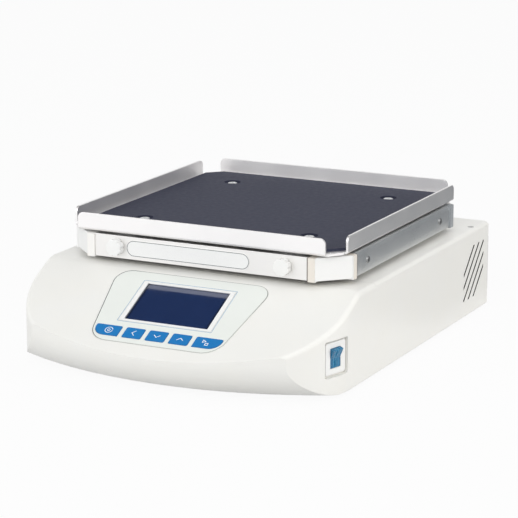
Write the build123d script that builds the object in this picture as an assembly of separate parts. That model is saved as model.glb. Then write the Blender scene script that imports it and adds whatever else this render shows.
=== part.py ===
from build123d import *
import math
import os

# Reciprocal laboratory shaker. Millimetres, +Z up, front towards -Y, carriage travel along X.
# The origin is on the surface the feet stand on, under the middle of the housing.

# Housing form
housing_width = 298.0
housing_depth = 402.0
housing_top = 81.0
foot_height = 3.0
wall = 3.0
front_arc_radius = 330.0
front_corner_radius = 80.0
front_corner_depth = 84.5
slope_angle = 26.0
knee_depth = 101.5
knee_radius = 24.0
tuck_radius = 30.0
rear_corner_radius = 6.0
rear_bottom_radius = 6.0
top_edge_radius = 4.0
crease_radius = 2.0
seam_depth = 134.5
cover_gap = 0.3
cover_ledge = 8.0
slot_clearance = 2.0

# Fits
running_fit = 0.05
seat_gap = 0.3

# Carriage frame
carriage_offset = 33.5
stroke = 20.0
frame_half_width = 132.5
frame_half_depth = 134.7
frame_bottom = 86.0
frame_height = 19.8
beam_half_length = 101.5
rail_half_length = 104.5
beam_depth = 14.0
rail_depth = 12.0
channel_wall = 2.0
rail_edge_radius = 5.0
corner_rib_width = 7.4
corner_rib_proud = 1.0
corner_wall = 14.0
support_bar_offset = 80.0
support_bar_width = 20.0
support_bar_height = 18.0
label_length = 118.0
label_height = 14.0
label_thickness = 0.5
label_offset = -11.0

# Tray and mat
tray_half_width = 131.0
tray_half_depth = 135.5
tray_bottom = 107.8
tray_sheet = 2.0
flange_height = 15.2
flange_half_length = 118.0
flange_corner_radius = 5.0
fold_radius = 2.5
mat_half_width = 126.0
mat_half_depth = 128.0
mat_corner_cut = 9.0
mat_thickness = 2.3
mat_hole = 15.5
tray_screw_y = 85.0
tray_screw_head = 9.2
tray_screw_head_height = 1.8
corner_hole_x = 120.5
corner_hole_y = 128.0
frame_screw_y = 81.0
frame_screw_head = 6.0
frame_screw_head_height = 1.2
screw_shank = 3.0
screw_depth = 9.0

# Thumb knobs
knob_diameter = 17.0
knob_length = 11.0
knob_lobes = 8
knob_notch = 1.3
knob_edge = 1.5
knob_stud = 6.0
knob_stud_grip = 14.0

# Linear guide
rod_diameter = 10.0
rod_half_length = 130.0
rod_spacing = 120.0
rod_height = 55.5
rod_support_thickness = 12.0
rod_support_margin = 14.0
rod_support_top = 66.0
bushing_diameter = 19.0
bushing_length = 29.0
slider_half_length = 98.0
slider_depth = 28.0
slider_top = 66.0
slider_bottom = 45.0
post_diameter = 12.0
bridge_thickness = 4.0
bridge_half_width = 22.0

# Crank drive
crank_x = -35.0
crank_radius = 10.0
rod_length = 60.0
crank_disc_diameter = 40.0
crank_disc_height = 6.0
crank_disc_top = 48.0
crank_pin_hole = 6.0
crank_pin_hole_depth = 4.0
pin_clearance = 0.3
pin_diameter = 8.0
pin_flange = 12.0
pin_flange_height = 1.7
pin_head_height = 2.0
pin_bearing_diameter = 22.0
pin_bearing_width = 7.0
big_eye_diameter = 30.0
small_eye_diameter = 18.0
rod_thickness = 8.0
rod_web = 12.0
wrist_flange_height = 1.0
spindle_diameter = 10.0
spindle_flange_diameter = 60.0
spindle_flange_height = 4.0
spindle_barrel_diameter = 34.0
spindle_barrel_top = 29.0
spindle_bearing_diameter = 26.0
spindle_bearing_width = 8.0
spindle_bottom_gap = 2.0
driven_radius = 40.0
motor_pulley_radius = 10.0
pulley_flange = 2.5
pulley_flange_thickness = 1.0
pulley_bottom = 31.0
pulley_height = 10.0
belt_width = 7.4
belt_thickness = 1.5
belt_gap = 0.3
pulley_hole_count = 5
pulley_hole = 15.0
pulley_hole_circle = 25.0
motor_distance = 105.0
motor_diameter = 58.0
motor_height = 21.5
motor_plate = 76.0
motor_plate_thickness = 3.0
motor_shaft_diameter = 6.0
motor_boss_diameter = 20.0
motor_fin_count = 12
motor_fin_width = 2.0
motor_fin_depth = 1.5

# Base, feet and rear
base_thickness = 2.0
base_gap = 0.3
foot_diameter = 20.0
foot_taper = 1.0
foot_screw_recess = 8.0
foot_recess_depth = 1.5
foot_screw_head_height = 1.0
foot_nut_height = 2.4
foot_screw_end = 3.5
foot_x = 110.0
foot_front = 52.0
foot_rear = 30.0
boss_diameter = 9.0
boss_height = 20.0
boss_inset = 7.0
housing_screw_head = 6.0
housing_screw_head_height = 1.5
housing_screw_length = 9.0
cover_screw_rear = 33.4
rear_panel_half_width = 112.0
rear_panel_bottom = 12.0
rear_panel_top = 70.0
rear_panel_thickness = 1.5
rear_panel_ledge = 6.0
inlet_x = -85.0
inlet_z = 38.0
inlet_width = 28.0
inlet_height = 20.0
inlet_depth = 24.0
inlet_flange = 4.0
inlet_flange_thickness = 1.0
inlet_socket_width = 24.0
inlet_socket_height = 16.0
inlet_socket_depth = 16.0
inlet_pin_width = 2.0
inlet_pin_height = 4.0
inlet_pin_spacing = 7.0
vent_rear = 41.5
vent_height = 41.8
vent_size = 49.0
vent_slot = 2.4
vent_count = 5
vent_pitch = 12.2

# Control panel, measured down the slope from the knee line
overlay_top = 7.0
overlay_bottom = 97.5
overlay_top_half = 75.5
overlay_bottom_half = 59.5
overlay_top_radius = 14.0
overlay_bottom_radius = 19.0
overlay_thickness = 0.5
overlay_pocket = 0.3
overlay_gap = 0.15
display_center = 44.9
display_width = 78.5
display_height = 47.2
bezel_width = 87.0
bezel_height = 52.0
bezel_thickness = 0.7
bezel_gap = 0.3
display_sink = 0.3
key_center = 84.8
key_pitch = 21.9
key_width = 17.5
key_height = 12.4
outer_key_width = 24.2
outer_key_radius = 10.5
key_radius = 1.5
key_gap = 0.3
key_proud = 0.4
key_travel = 0.4
key_lip = 1.0
key_switch_gap = 0.5
key_switch_height = 3.0
key_switch_width = 6.0
board_width = 124.0
board_height = 82.0
board_center = 51.0
board_thickness = 1.6
board_boss_x = 58.0
board_boss_top = 16.0
board_boss_bottom = 71.0
board_boss_diameter = 6.0
control_board_width = 120.0
control_board_depth = 90.0
control_board_y = -110.0
control_board_z = 15.0
standoff_diameter = 6.0
standoff_inset = 5.0
supply_width = 70.0
supply_depth = 62.0
supply_height = 38.0
supply_x = 68.0
supply_y = 152.0
supply_fin_count = 6
supply_fin_width = 2.0
supply_fin_depth = 3.0

# Power switch in the right front corner
switch_angle = 15.0
switch_height = 34.4
recess_width = 29.0
recess_height = 31.0
recess_depth = 4.5
recess_radius = 2.0
recess_wall = 3.0
switch_frame_width = 25.0
switch_frame_height = 27.0
switch_frame_thickness = 2.0
switch_frame_radius = 2.0
switch_body_width = 17.0
switch_body_height = 22.0
switch_body_depth = 14.0
rocker_width = 12.5
rocker_radius = 8.3
rocker_tilt = 12.0
rocker_face = 1.2
rocker_gap = 0.3
rocker_back = 4.0
rocker_pin = 2.0
rocker_pin_length = 1.2
rocker_rib_width = 1.2
rocker_rib_length = 5.5
rocker_rib_height = 0.5

# Places worked out from the sizes above
half_width = housing_width / 2
front_y = -housing_depth / 2
rear_y = housing_depth / 2
housing_bottom = foot_height
arc_center_y = front_y + front_arc_radius
corner_center_x = half_width - front_corner_radius
corner_center_y = front_y + front_corner_depth
knee_y = front_y + knee_depth
seam_y = front_y + seam_depth
cover_bottom = housing_top - wall
base_top = housing_bottom + base_thickness
slope_rad = math.radians(slope_angle)
slope = Plane(
    origin=(0, knee_y, housing_top),
    x_dir=(1, 0, 0),
    z_dir=(0, -math.sin(slope_rad), math.cos(slope_rad)),
)
switch_rad = math.radians(switch_angle)
switch_normal = (math.cos(switch_rad), -math.sin(switch_rad), 0)
switch_face = Plane(
    origin=(
        corner_center_x + front_corner_radius * switch_normal[0],
        corner_center_y + front_corner_radius * switch_normal[1],
        switch_height,
    ),
    x_dir=(math.sin(switch_rad), math.cos(switch_rad), 0),
    z_dir=switch_normal,
)
frame_top = frame_bottom + frame_height
beam_front_y = carriage_offset - frame_half_depth
rod_front_y = carriage_offset - rod_spacing / 2
rod_rear_y = carriage_offset + rod_spacing / 2
support_bar_bottom = tray_bottom - support_bar_height
tray_floor_top = tray_bottom + tray_sheet
knob_z = frame_bottom + frame_height / 2
crank_pin_y = carriage_offset + crank_radius
wrist_x = crank_x + math.sqrt(rod_length**2 - crank_radius**2)
wrist_y = carriage_offset
pin_bottom = crank_disc_top + pin_clearance
rod_bottom = pin_bottom + pin_flange_height
rod_top = rod_bottom + rod_thickness
motor_y = carriage_offset + motor_distance
spindle_bottom = base_top + spindle_bottom_gap


def block(x0, x1, y0, y1, z0, z1):
    """A box given by its low and high corners."""
    center = Pos((x0 + x1) / 2, (y0 + y1) / 2, (z0 + z1) / 2)
    return center * Box(abs(x1 - x0), abs(y1 - y0), abs(z1 - z0))


def post(x, y, z0, z1, diameter):
    """A vertical round bar."""
    return Pos(x, y, (z0 + z1) / 2) * Cylinder(diameter / 2, z1 - z0)


def bar_x(x0, x1, y, z, diameter):
    """A round bar along X."""
    return Pos((x0 + x1) / 2, y, z) * Rot(0, 90, 0) * Cylinder(diameter / 2, x1 - x0)


def bar_y(x, y0, y1, z, diameter):
    """A round bar along Y."""
    return Pos(x, (y0 + y1) / 2, z) * Rot(90, 0, 0) * Cylinder(diameter / 2, y1 - y0)


def corners(half_x, half_y, center_y=0.0):
    """The four places of a pattern that is symmetric about the carriage or the housing."""
    return [(sx * half_x, center_y + sy * half_y) for sx in (-1, 1) for sy in (-1, 1)]


def arc_meeting(inset):
    """Where the bowed front meets the rounded corner, both moved in by inset."""
    a = front_arc_radius - inset
    b = front_corner_radius - inset
    dx = corner_center_x
    dy = corner_center_y - arc_center_y
    apart = math.hypot(dx, dy)
    along = (a**2 - b**2 + apart**2) / (2 * apart)
    across = math.sqrt(a**2 - along**2)
    return (
        along * dx / apart - across * dy / apart,
        arc_center_y + along * dy / apart + across * dx / apart,
    )


def plan_face(inset):
    """The housing seen from above: parallel sides, rounded front corners and a bowed front."""
    side = half_width - inset
    back = rear_y - inset
    meet_x, meet_y = arc_meeting(inset)
    radius = front_corner_radius - inset
    turn = math.atan2(corner_center_y - meet_y, meet_x - corner_center_x) / 2
    mid = (
        corner_center_x + radius * math.cos(turn),
        corner_center_y - radius * math.sin(turn),
    )
    edges = [
        Line((side, back), (side, corner_center_y)),
        ThreePointArc((side, corner_center_y), mid, (meet_x, meet_y)),
        ThreePointArc((meet_x, meet_y), (0, front_y + inset), (-meet_x, meet_y)),
        ThreePointArc((-meet_x, meet_y), (-mid[0], mid[1]), (-side, corner_center_y)),
        Line((-side, corner_center_y), (-side, back)),
        Line((-side, back), (side, back)),
    ]
    face = make_face(Curve() + edges)
    return fillet(face.vertices().sort_by(Axis.Y)[-2:], rear_corner_radius - inset)


def side_profile(inset):
    """Flat top, rounded knee, straight slope and rounded rear bottom edge, seen from the side."""
    top = housing_top - inset
    back = rear_y - inset
    low = housing_bottom - foot_height
    heel = housing_bottom + inset
    knee = knee_y + inset * math.tan(slope_rad / 2)
    reach = front_y - wall
    drop = (knee - reach) * math.tan(slope_rad)
    lip = rear_y - rear_bottom_radius - base_gap
    points = [(lip, low), (lip, heel), (back, heel), (back, top), (knee, top), (reach, top - drop), (reach, low)]
    outline = Plane.YZ * make_face(Polyline(*points, close=True))
    knee_point = outline.vertices().sort_by_distance((0, knee, top))[0]
    outline = fillet(knee_point, knee_radius - inset)
    heel_point = outline.vertices().sort_by_distance((0, back, heel))[0]
    outline = fillet(heel_point, rear_bottom_radius - inset)
    return extrude(outline, half_width + wall, both=True)


def tuck_cutter(inset):
    """What is cut away under the bowed front, so that it curls back to the base."""
    center_r = front_arc_radius - tuck_radius
    center_z = housing_bottom + tuck_radius
    radius = tuck_radius - inset
    reach = front_arc_radius + wall
    low = housing_bottom - wall
    bend = math.sqrt(0.5) * radius
    edges = [
        Line((center_r, low), (reach, low)),
        Line((reach, low), (reach, center_z)),
        Line((reach, center_z), (center_r + radius, center_z)),
        ThreePointArc(
            (center_r + radius, center_z),
            (center_r + bend, center_z - bend),
            (center_r, center_z - radius),
        ),
        Line((center_r, center_z - radius), (center_r, low)),
    ]
    section = Plane.XZ * make_face(Curve() + edges)
    return Pos(0, arc_center_y, 0) * revolve(section, Axis.Z)


def housing_form(inset):
    """The whole outer form of the housing, moved in by inset on every side."""
    form = extrude(plan_face(inset), housing_top)
    form = Pos(0, 0, housing_bottom - foot_height) * form & side_profile(inset)
    return form - tuck_cutter(inset)


def outer_form():
    """The outer form with its soft top edges, cut off level at the bottom."""
    form = housing_form(0)
    form -= block(-housing_width, housing_width, -housing_depth, housing_depth, -housing_top, housing_bottom)
    rim = [
        e for e in form.edges()
        if e.center().Z > housing_bottom + tuck_radius / 2 and not e.is_closed
        and e.bounding_box().size.Z < knee_depth * math.tan(slope_rad)
        and not on_knee_line(e) and not stands_upright(e)
    ]
    upper = [e for e in rim if e.center().Y > crease_limit()]
    return fillet(upper, top_edge_radius)


def stands_upright(edge):
    size = edge.bounding_box().size
    return size.X < 0.01 and size.Y < 0.01


def on_knee_line(edge):
    size = edge.bounding_box().size
    return size.Y < 0.01 and size.Z < 0.01 and edge.center().Y < rear_y - wall


def crease_limit():
    """The front crease lies in front of this depth."""
    return corner_center_y


def overlay_face(gap):
    """The panel film: wider at the top, with large corner radii, shrunk by gap."""
    top = -overlay_top - gap
    bottom = -overlay_bottom + gap
    points = [
        (-overlay_top_half + gap, top),
        (overlay_top_half - gap, top),
        (overlay_bottom_half - gap, bottom),
        (-overlay_bottom_half + gap, bottom),
    ]
    face = make_face(Polyline(*points, close=True))
    face = fillet(face.vertices().sort_by(Axis.Y)[-2:], overlay_top_radius)
    lower = [v for v in face.vertices() if abs(v.Y - bottom) < 0.01]
    return fillet(lower, overlay_bottom_radius)


def key_face(index, grow):
    """A key seen square on. The two outer keys are longer and rounded at their low outer corner."""
    side = index - 2
    height = key_height + 2 * grow
    if abs(side) < 2:
        shape = RectangleRounded(key_width + 2 * grow, height, key_radius)
        return Pos(side * key_pitch, -key_center) * shape
    sign = 1 if side > 0 else -1
    inner = sign * (2 * key_pitch - key_width / 2 - grow)
    outer = sign * (2 * key_pitch - key_width / 2 + outer_key_width + grow)
    shape = Pos((inner + outer) / 2, -key_center) * Rectangle(abs(outer - inner), height)
    low = shape.vertices().sort_by_distance((outer, -key_center - height / 2, 0))[0]
    shape = fillet(low, outer_key_radius)
    sharp = [v for v in shape.vertices() if v.Y > -key_center + height / 2 - 0.01]
    return fillet(sharp, key_radius)


def on_slope(face, z0, z1):
    """A face of the control panel made into a plate between two heights over the slope."""
    return slope * Pos(0, 0, z0) * extrude(face, z1 - z0)


def on_switch(width, height, z0, z1, radius=0.0):
    """A plate square to the switch, between two heights over the housing surface."""
    face = RectangleRounded(width, height, radius) if radius else Rectangle(width, height)
    return switch_face * Pos(0, 0, z0) * extrude(face, z1 - z0)


def vent_slots(side):
    """Five slanted slots, cut off by a square window, on the left or right side wall."""
    center_y = rear_y - vent_rear
    x0 = side * (half_width - 2 * wall)
    x1 = side * (half_width + wall)
    window = block(x0, x1, center_y - vent_size / 2, center_y + vent_size / 2,
                   vent_height - vent_size / 2, vent_height + vent_size / 2)
    slots = []
    for index in range(vent_count):
        shift = (index - (vent_count - 1) / 2) * vent_pitch
        bar = Box(4 * wall, 2 * vent_size, vent_slot)
        slots.append(Pos(side * half_width, center_y + shift, vent_height) * Rot(45, 0, 0) * bar & window)
    return slots


def base_screw_places():
    """Six base screws: three along each side, the front pair under the slope."""
    side = half_width - boss_inset
    return [
        (-side, rear_y - foot_rear), (side, rear_y - foot_rear),
        (-side, carriage_offset - rod_spacing), (side, carriage_offset - rod_spacing),
        (-corner_center_x, front_y + foot_front), (corner_center_x, front_y + foot_front),
    ]


def cover_screw_places():
    side = half_width - boss_inset
    return [(-side, rear_y - cover_screw_rear), (side, rear_y - cover_screw_rear)]


def foot_places():
    return [(sx * foot_x, y) for sx in (-1, 1) for y in (front_y + foot_front + foot_diameter, rear_y - foot_rear)]


def panel_screw_places():
    """Four screws in the corners of the rear panel, as x and z."""
    inset = rear_panel_ledge / 2
    return [
        (sx * (rear_panel_half_width - inset), z)
        for sx in (-1, 1)
        for z in (rear_panel_bottom + inset, rear_panel_top - inset)
    ]


def make_front_housing(form):
    """Front, sides and rear wall in one moulding, open below and behind the seam on top."""
    hollow = housing_form(wall)
    pocket_floor = on_switch(recess_width + 2 * recess_wall, recess_height + 2 * recess_wall,
                             -recess_depth - recess_wall, wall)
    hollow -= pocket_floor
    bosses = [on_slope(Pos(sx * board_boss_x, -s) * Circle(board_boss_diameter / 2), board_top(), -wall / 2)
              for sx in (-1, 1) for s in (board_boss_top, board_boss_bottom)]
    for x, y in base_screw_places():
        top = housing_top if y < knee_y else base_top + boss_height
        bosses.append(post(x, y, base_top, top, boss_diameter))
    for x, y in cover_screw_places():
        bosses.append(post(x, y, cover_bottom - boss_height, cover_bottom, boss_diameter))
    ledge = block(-half_width, half_width, seam_y - wall, seam_y + cover_ledge,
                  cover_bottom - wall, cover_bottom - running_fit)
    shell = form - hollow
    for extra in bosses + [ledge]:
        shell += extra & form
    shell -= block(-housing_width, housing_width, seam_y, rear_y + wall, cover_bottom, housing_top + wall)
    for slot in vent_slots(-1) + vent_slots(1):
        shell -= slot
    shell -= on_slope(overlay_face(0), -overlay_pocket, wall)
    shell -= on_slope(display_face(display_width + 2 * bezel_gap, display_height + 2 * bezel_gap), -2 * wall, wall)
    for index in range(5):
        shell -= on_slope(key_face(index, key_gap), -2 * wall, wall)
    shell -= on_switch(recess_width, recess_height, -recess_depth, 2 * wall, recess_radius)
    shell -= on_switch(switch_body_width + 2 * seat_gap, switch_body_height + 2 * seat_gap,
                       -recess_depth - 2 * recess_wall, 0)
    shell -= block(-rear_panel_half_width + rear_panel_ledge, rear_panel_half_width - rear_panel_ledge,
                   rear_y - 2 * wall, rear_y + wall,
                   rear_panel_bottom + rear_panel_ledge, rear_panel_top - rear_panel_ledge)
    shell -= block(-rear_panel_half_width - seat_gap, rear_panel_half_width + seat_gap,
                   rear_y - rear_panel_thickness, rear_y + wall,
                   rear_panel_bottom - seat_gap, rear_panel_top + seat_gap)
    pilot = screw_shank + 2 * running_fit
    for x, y in base_screw_places():
        shell -= post(x, y, base_top - base_thickness, base_top + housing_screw_length, pilot)
    for x, y in cover_screw_places():
        shell -= post(x, y, cover_bottom - housing_screw_length, cover_bottom + wall, pilot)
    for x, z in panel_screw_places():
        shell -= bar_y(x, rear_y - 2 * wall, rear_y, z, pilot)
    return shell


def display_face(width, height):
    return Pos(0, -display_center) * Rectangle(width, height)


def make_top_cover(form):
    """The lid over the mechanism, with four slots for the carriage posts."""
    cover = form & block(-housing_width, housing_width, seam_y + cover_gap, rear_y + wall,
                         cover_bottom, housing_top + wall)
    for x, y in carriage_post_places():
        cover -= Pos(x, y, cover_bottom) * extrude(
            SlotOverall(post_diameter + stroke + 2 * slot_clearance, post_diameter + 2 * slot_clearance),
            2 * wall, both=True)
    for x, y in cover_screw_places():
        cover -= post(x, y, cover_bottom - wall, housing_top + wall, screw_shank + 2 * running_fit)
        cover -= post(x, y, housing_top - housing_screw_head_height - running_fit, housing_top + wall,
                      housing_screw_head + 2 * running_fit)
    return cover


def make_base_plate():
    """Sheet base inside the lower edge of the housing."""
    plate = extrude(plan_face(wall + base_gap), base_thickness)
    plate = Pos(0, 0, housing_bottom) * plate
    plate -= block(-half_width, half_width, rear_y - rear_bottom_radius - 2 * base_gap, rear_y, 0, 2 * base_top)
    reach = front_arc_radius - tuck_radius - base_gap
    plate &= Pos(0, arc_center_y, housing_bottom) * Cylinder(reach, 4 * base_thickness)
    for x, y in base_screw_places() + foot_places():
        plate -= post(x, y, 0, 2 * base_top, screw_shank + 2 * running_fit)
    for x, y in base_screw_places():
        plate -= post(x, y, 0, housing_bottom + housing_screw_head_height + running_fit,
                      housing_screw_head + 2 * running_fit)
    return plate


def make_foot(x, y):
    """A tapered rubber foot with a sunk screw hole."""
    foot = Pos(x, y, foot_height / 2) * Cone(foot_diameter / 2 - foot_taper, foot_diameter / 2, foot_height)
    foot -= post(x, y, -1, foot_recess_depth, foot_screw_recess)
    return foot - post(x, y, -1, foot_height + 1, screw_shank + 2 * running_fit)


def make_rear_panel():
    """A sheet panel let into the rear wall, with the cut-out of the power inlet."""
    panel = block(-rear_panel_half_width, rear_panel_half_width, rear_y - rear_panel_thickness, rear_y,
                  rear_panel_bottom, rear_panel_top)
    panel -= block(inlet_x - inlet_width / 2 - seat_gap, inlet_x + inlet_width / 2 + seat_gap,
                   rear_y - 2 * wall, rear_y + wall,
                   inlet_z - inlet_height / 2 - seat_gap, inlet_z + inlet_height / 2 + seat_gap)
    for x, z in panel_screw_places():
        panel -= bar_y(x, rear_y - 2 * wall, rear_y + wall, z, screw_shank + 2 * running_fit)
    return panel


def make_power_inlet():
    """A three-pin appliance inlet with a rounded socket and a flange on the panel."""
    body = block(inlet_x - inlet_width / 2, inlet_x + inlet_width / 2,
                 rear_y - rear_panel_thickness - inlet_depth, rear_y - rear_panel_thickness,
                 inlet_z - inlet_height / 2, inlet_z + inlet_height / 2)
    neck = block(inlet_x - inlet_width / 2, inlet_x + inlet_width / 2,
                 rear_y - rear_panel_thickness, rear_y,
                 inlet_z - inlet_height / 2, inlet_z + inlet_height / 2)
    flange = block(inlet_x - inlet_width / 2 - inlet_flange, inlet_x + inlet_width / 2 + inlet_flange,
                   rear_y, rear_y + inlet_flange_thickness,
                   inlet_z - inlet_height / 2 - inlet_flange, inlet_z + inlet_height / 2 + inlet_flange)
    inlet = body + neck + flange
    socket = Plane.XZ * RectangleRounded(inlet_socket_width, inlet_socket_height, inlet_flange)
    mouth = rear_y + inlet_flange_thickness
    cut = Pos(inlet_x, mouth, inlet_z) * extrude(socket, inlet_socket_depth)
    inlet -= cut
    for step in (-1, 0, 1):
        x = inlet_x + step * inlet_pin_spacing
        z = inlet_z + (inlet_pin_height / 2 if step == 0 else -inlet_pin_height / 4)
        inlet += block(x - inlet_pin_width / 2, x + inlet_pin_width / 2,
                       mouth - inlet_socket_depth, mouth - inlet_flange,
                       z - inlet_pin_height / 2, z + inlet_pin_height / 2)
    return inlet


def make_housing_screws():
    """All the small screws of the housing: base, cover and rear panel."""
    screws = []
    for x, y in base_screw_places():
        screws.append(post(x, y, housing_bottom, housing_bottom + housing_screw_head_height, housing_screw_head)
                      + post(x, y, housing_bottom, base_top + housing_screw_length - 1, screw_shank))
    for x, y in foot_places():
        screws.append(post(x, y, foot_recess_depth - foot_screw_head_height, foot_recess_depth, housing_screw_head)
                      + post(x, y, foot_recess_depth, base_top + foot_screw_end, screw_shank)
                      + post(x, y, base_top, base_top + foot_nut_height, housing_screw_head))
    for x, y in cover_screw_places():
        screws.append(post(x, y, housing_top - housing_screw_head_height, housing_top - 0.2, housing_screw_head)
                      + post(x, y, cover_bottom - housing_screw_length + 1, housing_top - 0.2, screw_shank))
    for x, z in panel_screw_places():
        screws.append(bar_y(x, rear_y, rear_y + frame_screw_head_height, z, housing_screw_head)
                      + bar_y(x, rear_y - wall, rear_y, z, screw_shank))
    return screws


def make_overlay():
    """The printed film of the control panel, with its window and key openings."""
    film = on_slope(overlay_face(overlay_gap), -overlay_pocket, overlay_thickness - overlay_pocket)
    film -= on_slope(display_face(bezel_width + 2 * bezel_gap, bezel_height + 2 * bezel_gap), -wall, wall)
    for index in range(5):
        film -= on_slope(key_face(index, key_gap), -wall, wall)
    return film


def make_display_bezel():
    """The pale frame round the display window."""
    ring = on_slope(display_face(bezel_width, bezel_height), -overlay_pocket, bezel_thickness - overlay_pocket)
    return ring - on_slope(display_face(display_width, display_height), -wall, wall)


def board_top():
    """Height of the display board over the slope, below the keys and their switches."""
    return -wall - key_lip - key_switch_gap - key_switch_height


def make_display():
    """The display module, from just under the bezel down to its board."""
    return on_slope(display_face(display_width, display_height), board_top(), -overlay_pocket - display_sink)


def make_display_board():
    """Circuit board along the slope with one push switch under each key."""
    board = on_slope(Pos(0, -board_center) * Rectangle(board_width, board_height),
                     board_top() - board_thickness, board_top())
    for index in range(5):
        place = Pos((index - 2) * key_pitch, -key_center)
        body = on_slope(place * Rectangle(key_switch_width, key_switch_width),
                        board_top(), board_top() + key_switch_height / 2)
        stem = on_slope(place * Circle(key_switch_width / 4), board_top(), board_top() + key_switch_height)
        board += body + stem
    return board


def make_key(index):
    """A key cap that stands through film and housing, with a lip that keeps it in."""
    cap = on_slope(key_face(index, 0), -wall - key_lip, overlay_thickness - overlay_pocket + key_proud)
    lip = on_slope(key_face(index, key_lip), -wall - key_lip, -wall - key_travel / 4)
    return cap + lip


def make_control_board():
    """Main circuit board on the base, with its connectors, capacitors and driver heat sink."""
    half_x = control_board_width / 2
    half_y = control_board_depth / 2
    top = control_board_z + board_thickness
    board = block(-half_x, half_x, control_board_y - half_y, control_board_y + half_y, control_board_z, top)
    for step in range(4):
        x = -half_x + 15 + 12 * step
        board += block(x, x + 9, control_board_y + half_y - 12, control_board_y + half_y - 4, top, top + 7)
    for step in range(3):
        board += post(half_x - 14 - 13 * step, control_board_y + 15, top, top + 8, 9)
    board += block(-12, 8, control_board_y - 18, control_board_y + 2, top, top + 2)
    for step in range(5):
        board += block(-50 + 4 * step, -48 + 4 * step, control_board_y - 25, control_board_y + 5, top, top + 8)
    board += block(-50, -32, control_board_y - 25, control_board_y + 5, top, top + 2)
    for x, y in corners(half_x - standoff_inset, half_y - standoff_inset, control_board_y):
        board -= post(x, y, control_board_z - 1, top + 1, screw_shank + 2 * running_fit)
    return board


def make_board_standoffs():
    """Four pillars with the screw ends that pass through the board."""
    pillars = []
    half_x = control_board_width / 2 - standoff_inset
    half_y = control_board_depth / 2 - standoff_inset
    for x, y in corners(half_x, half_y, control_board_y):
        pillars.append(post(x, y, base_top, control_board_z, standoff_diameter)
                       + post(x, y, control_board_z, control_board_z + board_thickness + 2, screw_shank))
    return pillars


def make_power_supply():
    """A closed supply unit with cooling grooves along its top."""
    x0 = supply_x - supply_width / 2
    y0 = supply_y - supply_depth / 2
    unit = block(x0, x0 + supply_width, y0, y0 + supply_depth, base_top, base_top + supply_height)
    pitch = supply_width / (supply_fin_count + 1)
    for index in range(supply_fin_count):
        x = x0 + pitch * (index + 1)
        unit -= block(x - supply_fin_width / 2, x + supply_fin_width / 2, y0, y0 + supply_depth,
                      base_top + supply_height - supply_fin_depth, base_top + supply_height)
    return unit


def rocker_center():
    """Depth of the rocker's pivot below the housing surface."""
    return -recess_depth + switch_frame_thickness - rocker_face


def make_switch_frame():
    """The switch body with its frame and the rounded well that the rocker turns in."""
    plate = on_switch(switch_frame_width, switch_frame_height, -recess_depth,
                      -recess_depth + switch_frame_thickness, switch_frame_radius)
    body = on_switch(switch_body_width, switch_body_height, -recess_depth - switch_body_depth, -recess_depth)
    well_width = rocker_width + 2 * rocker_gap
    well = Rot(0, 90, 0) * Cylinder(rocker_radius + rocker_gap, well_width)
    mouth = Pos(0, 0, recess_depth) * Box(well_width, 2 * (rocker_radius + rocker_gap), 2 * recess_depth)
    pin_hole = Rot(0, 90, 0) * Cylinder(rocker_pin / 2 + running_fit,
                                        rocker_width + 2 * rocker_pin_length + 2 * rocker_gap)
    cut = switch_face * Pos(0, 0, rocker_center()) * (well + mouth + pin_hole)
    return plate + body - cut


def make_rocker():
    """A shallow V rocker on two pivot pins, at rest with its lower half standing out."""
    rise = rocker_face + rocker_radius * math.tan(math.radians(rocker_tilt))
    points = [
        (-rocker_radius, -rocker_back), (rocker_radius, -rocker_back),
        (rocker_radius, rise), (0, rocker_face), (-rocker_radius, rise),
    ]
    section = Plane.YZ * make_face(Polyline(*points, close=True))
    lever = extrude(section, rocker_width / 2, both=True)
    lever &= Rot(0, 90, 0) * Cylinder(rocker_radius, rocker_width)
    lever += Rot(0, 90, 0) * Cylinder(rocker_pin / 2, rocker_width + 2 * rocker_pin_length)
    rib = Box(rocker_rib_width, rocker_rib_length, 2 * rocker_rib_height)
    for sign in (-1, 1):
        lean = Rot(sign * rocker_tilt, 0, 0)
        lever += Pos(0, sign * rocker_radius / 2, rocker_face + rocker_radius / 2 * math.tan(
            math.radians(rocker_tilt))) * lean * rib
    return switch_face * Pos(0, 0, rocker_center()) * Rot(rocker_tilt, 0, 0) * lever


def channel_section(depth):
    """A channel open towards the middle of the frame, as a face in x (inwards) and z."""
    outer = Pos(depth / 2, 0) * Rectangle(depth, frame_height)
    inner = Pos(depth / 2 + channel_wall / 2, 0) * Rectangle(depth - channel_wall, frame_height - 2 * channel_wall)
    return outer - inner


def make_beam(side):
    """The front (-1) or rear (1) beam of the carriage frame, drilled for the thumb knobs in front."""
    outer_y = carriage_offset + side * frame_half_depth
    inner_y = outer_y - side * beam_depth
    web_y = outer_y - side * channel_wall
    beam = block(-beam_half_length, beam_half_length, outer_y, inner_y, frame_bottom, frame_top)
    beam -= block(-beam_half_length - 1, beam_half_length + 1, web_y, inner_y - side,
                  frame_bottom + channel_wall, frame_top - channel_wall)
    if side < 0:
        for sx in (-1, 1):
            beam -= bar_y(sx * support_bar_offset, outer_y - 1, inner_y + 1, knob_z, knob_stud + 2 * running_fit)
    else:
        for sx in (-1, 1):
            beam -= bar_y(sx * support_bar_offset, inner_y - 1, outer_y + 1, knob_z,
                          screw_shank + 2 * running_fit)
    return beam


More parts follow.
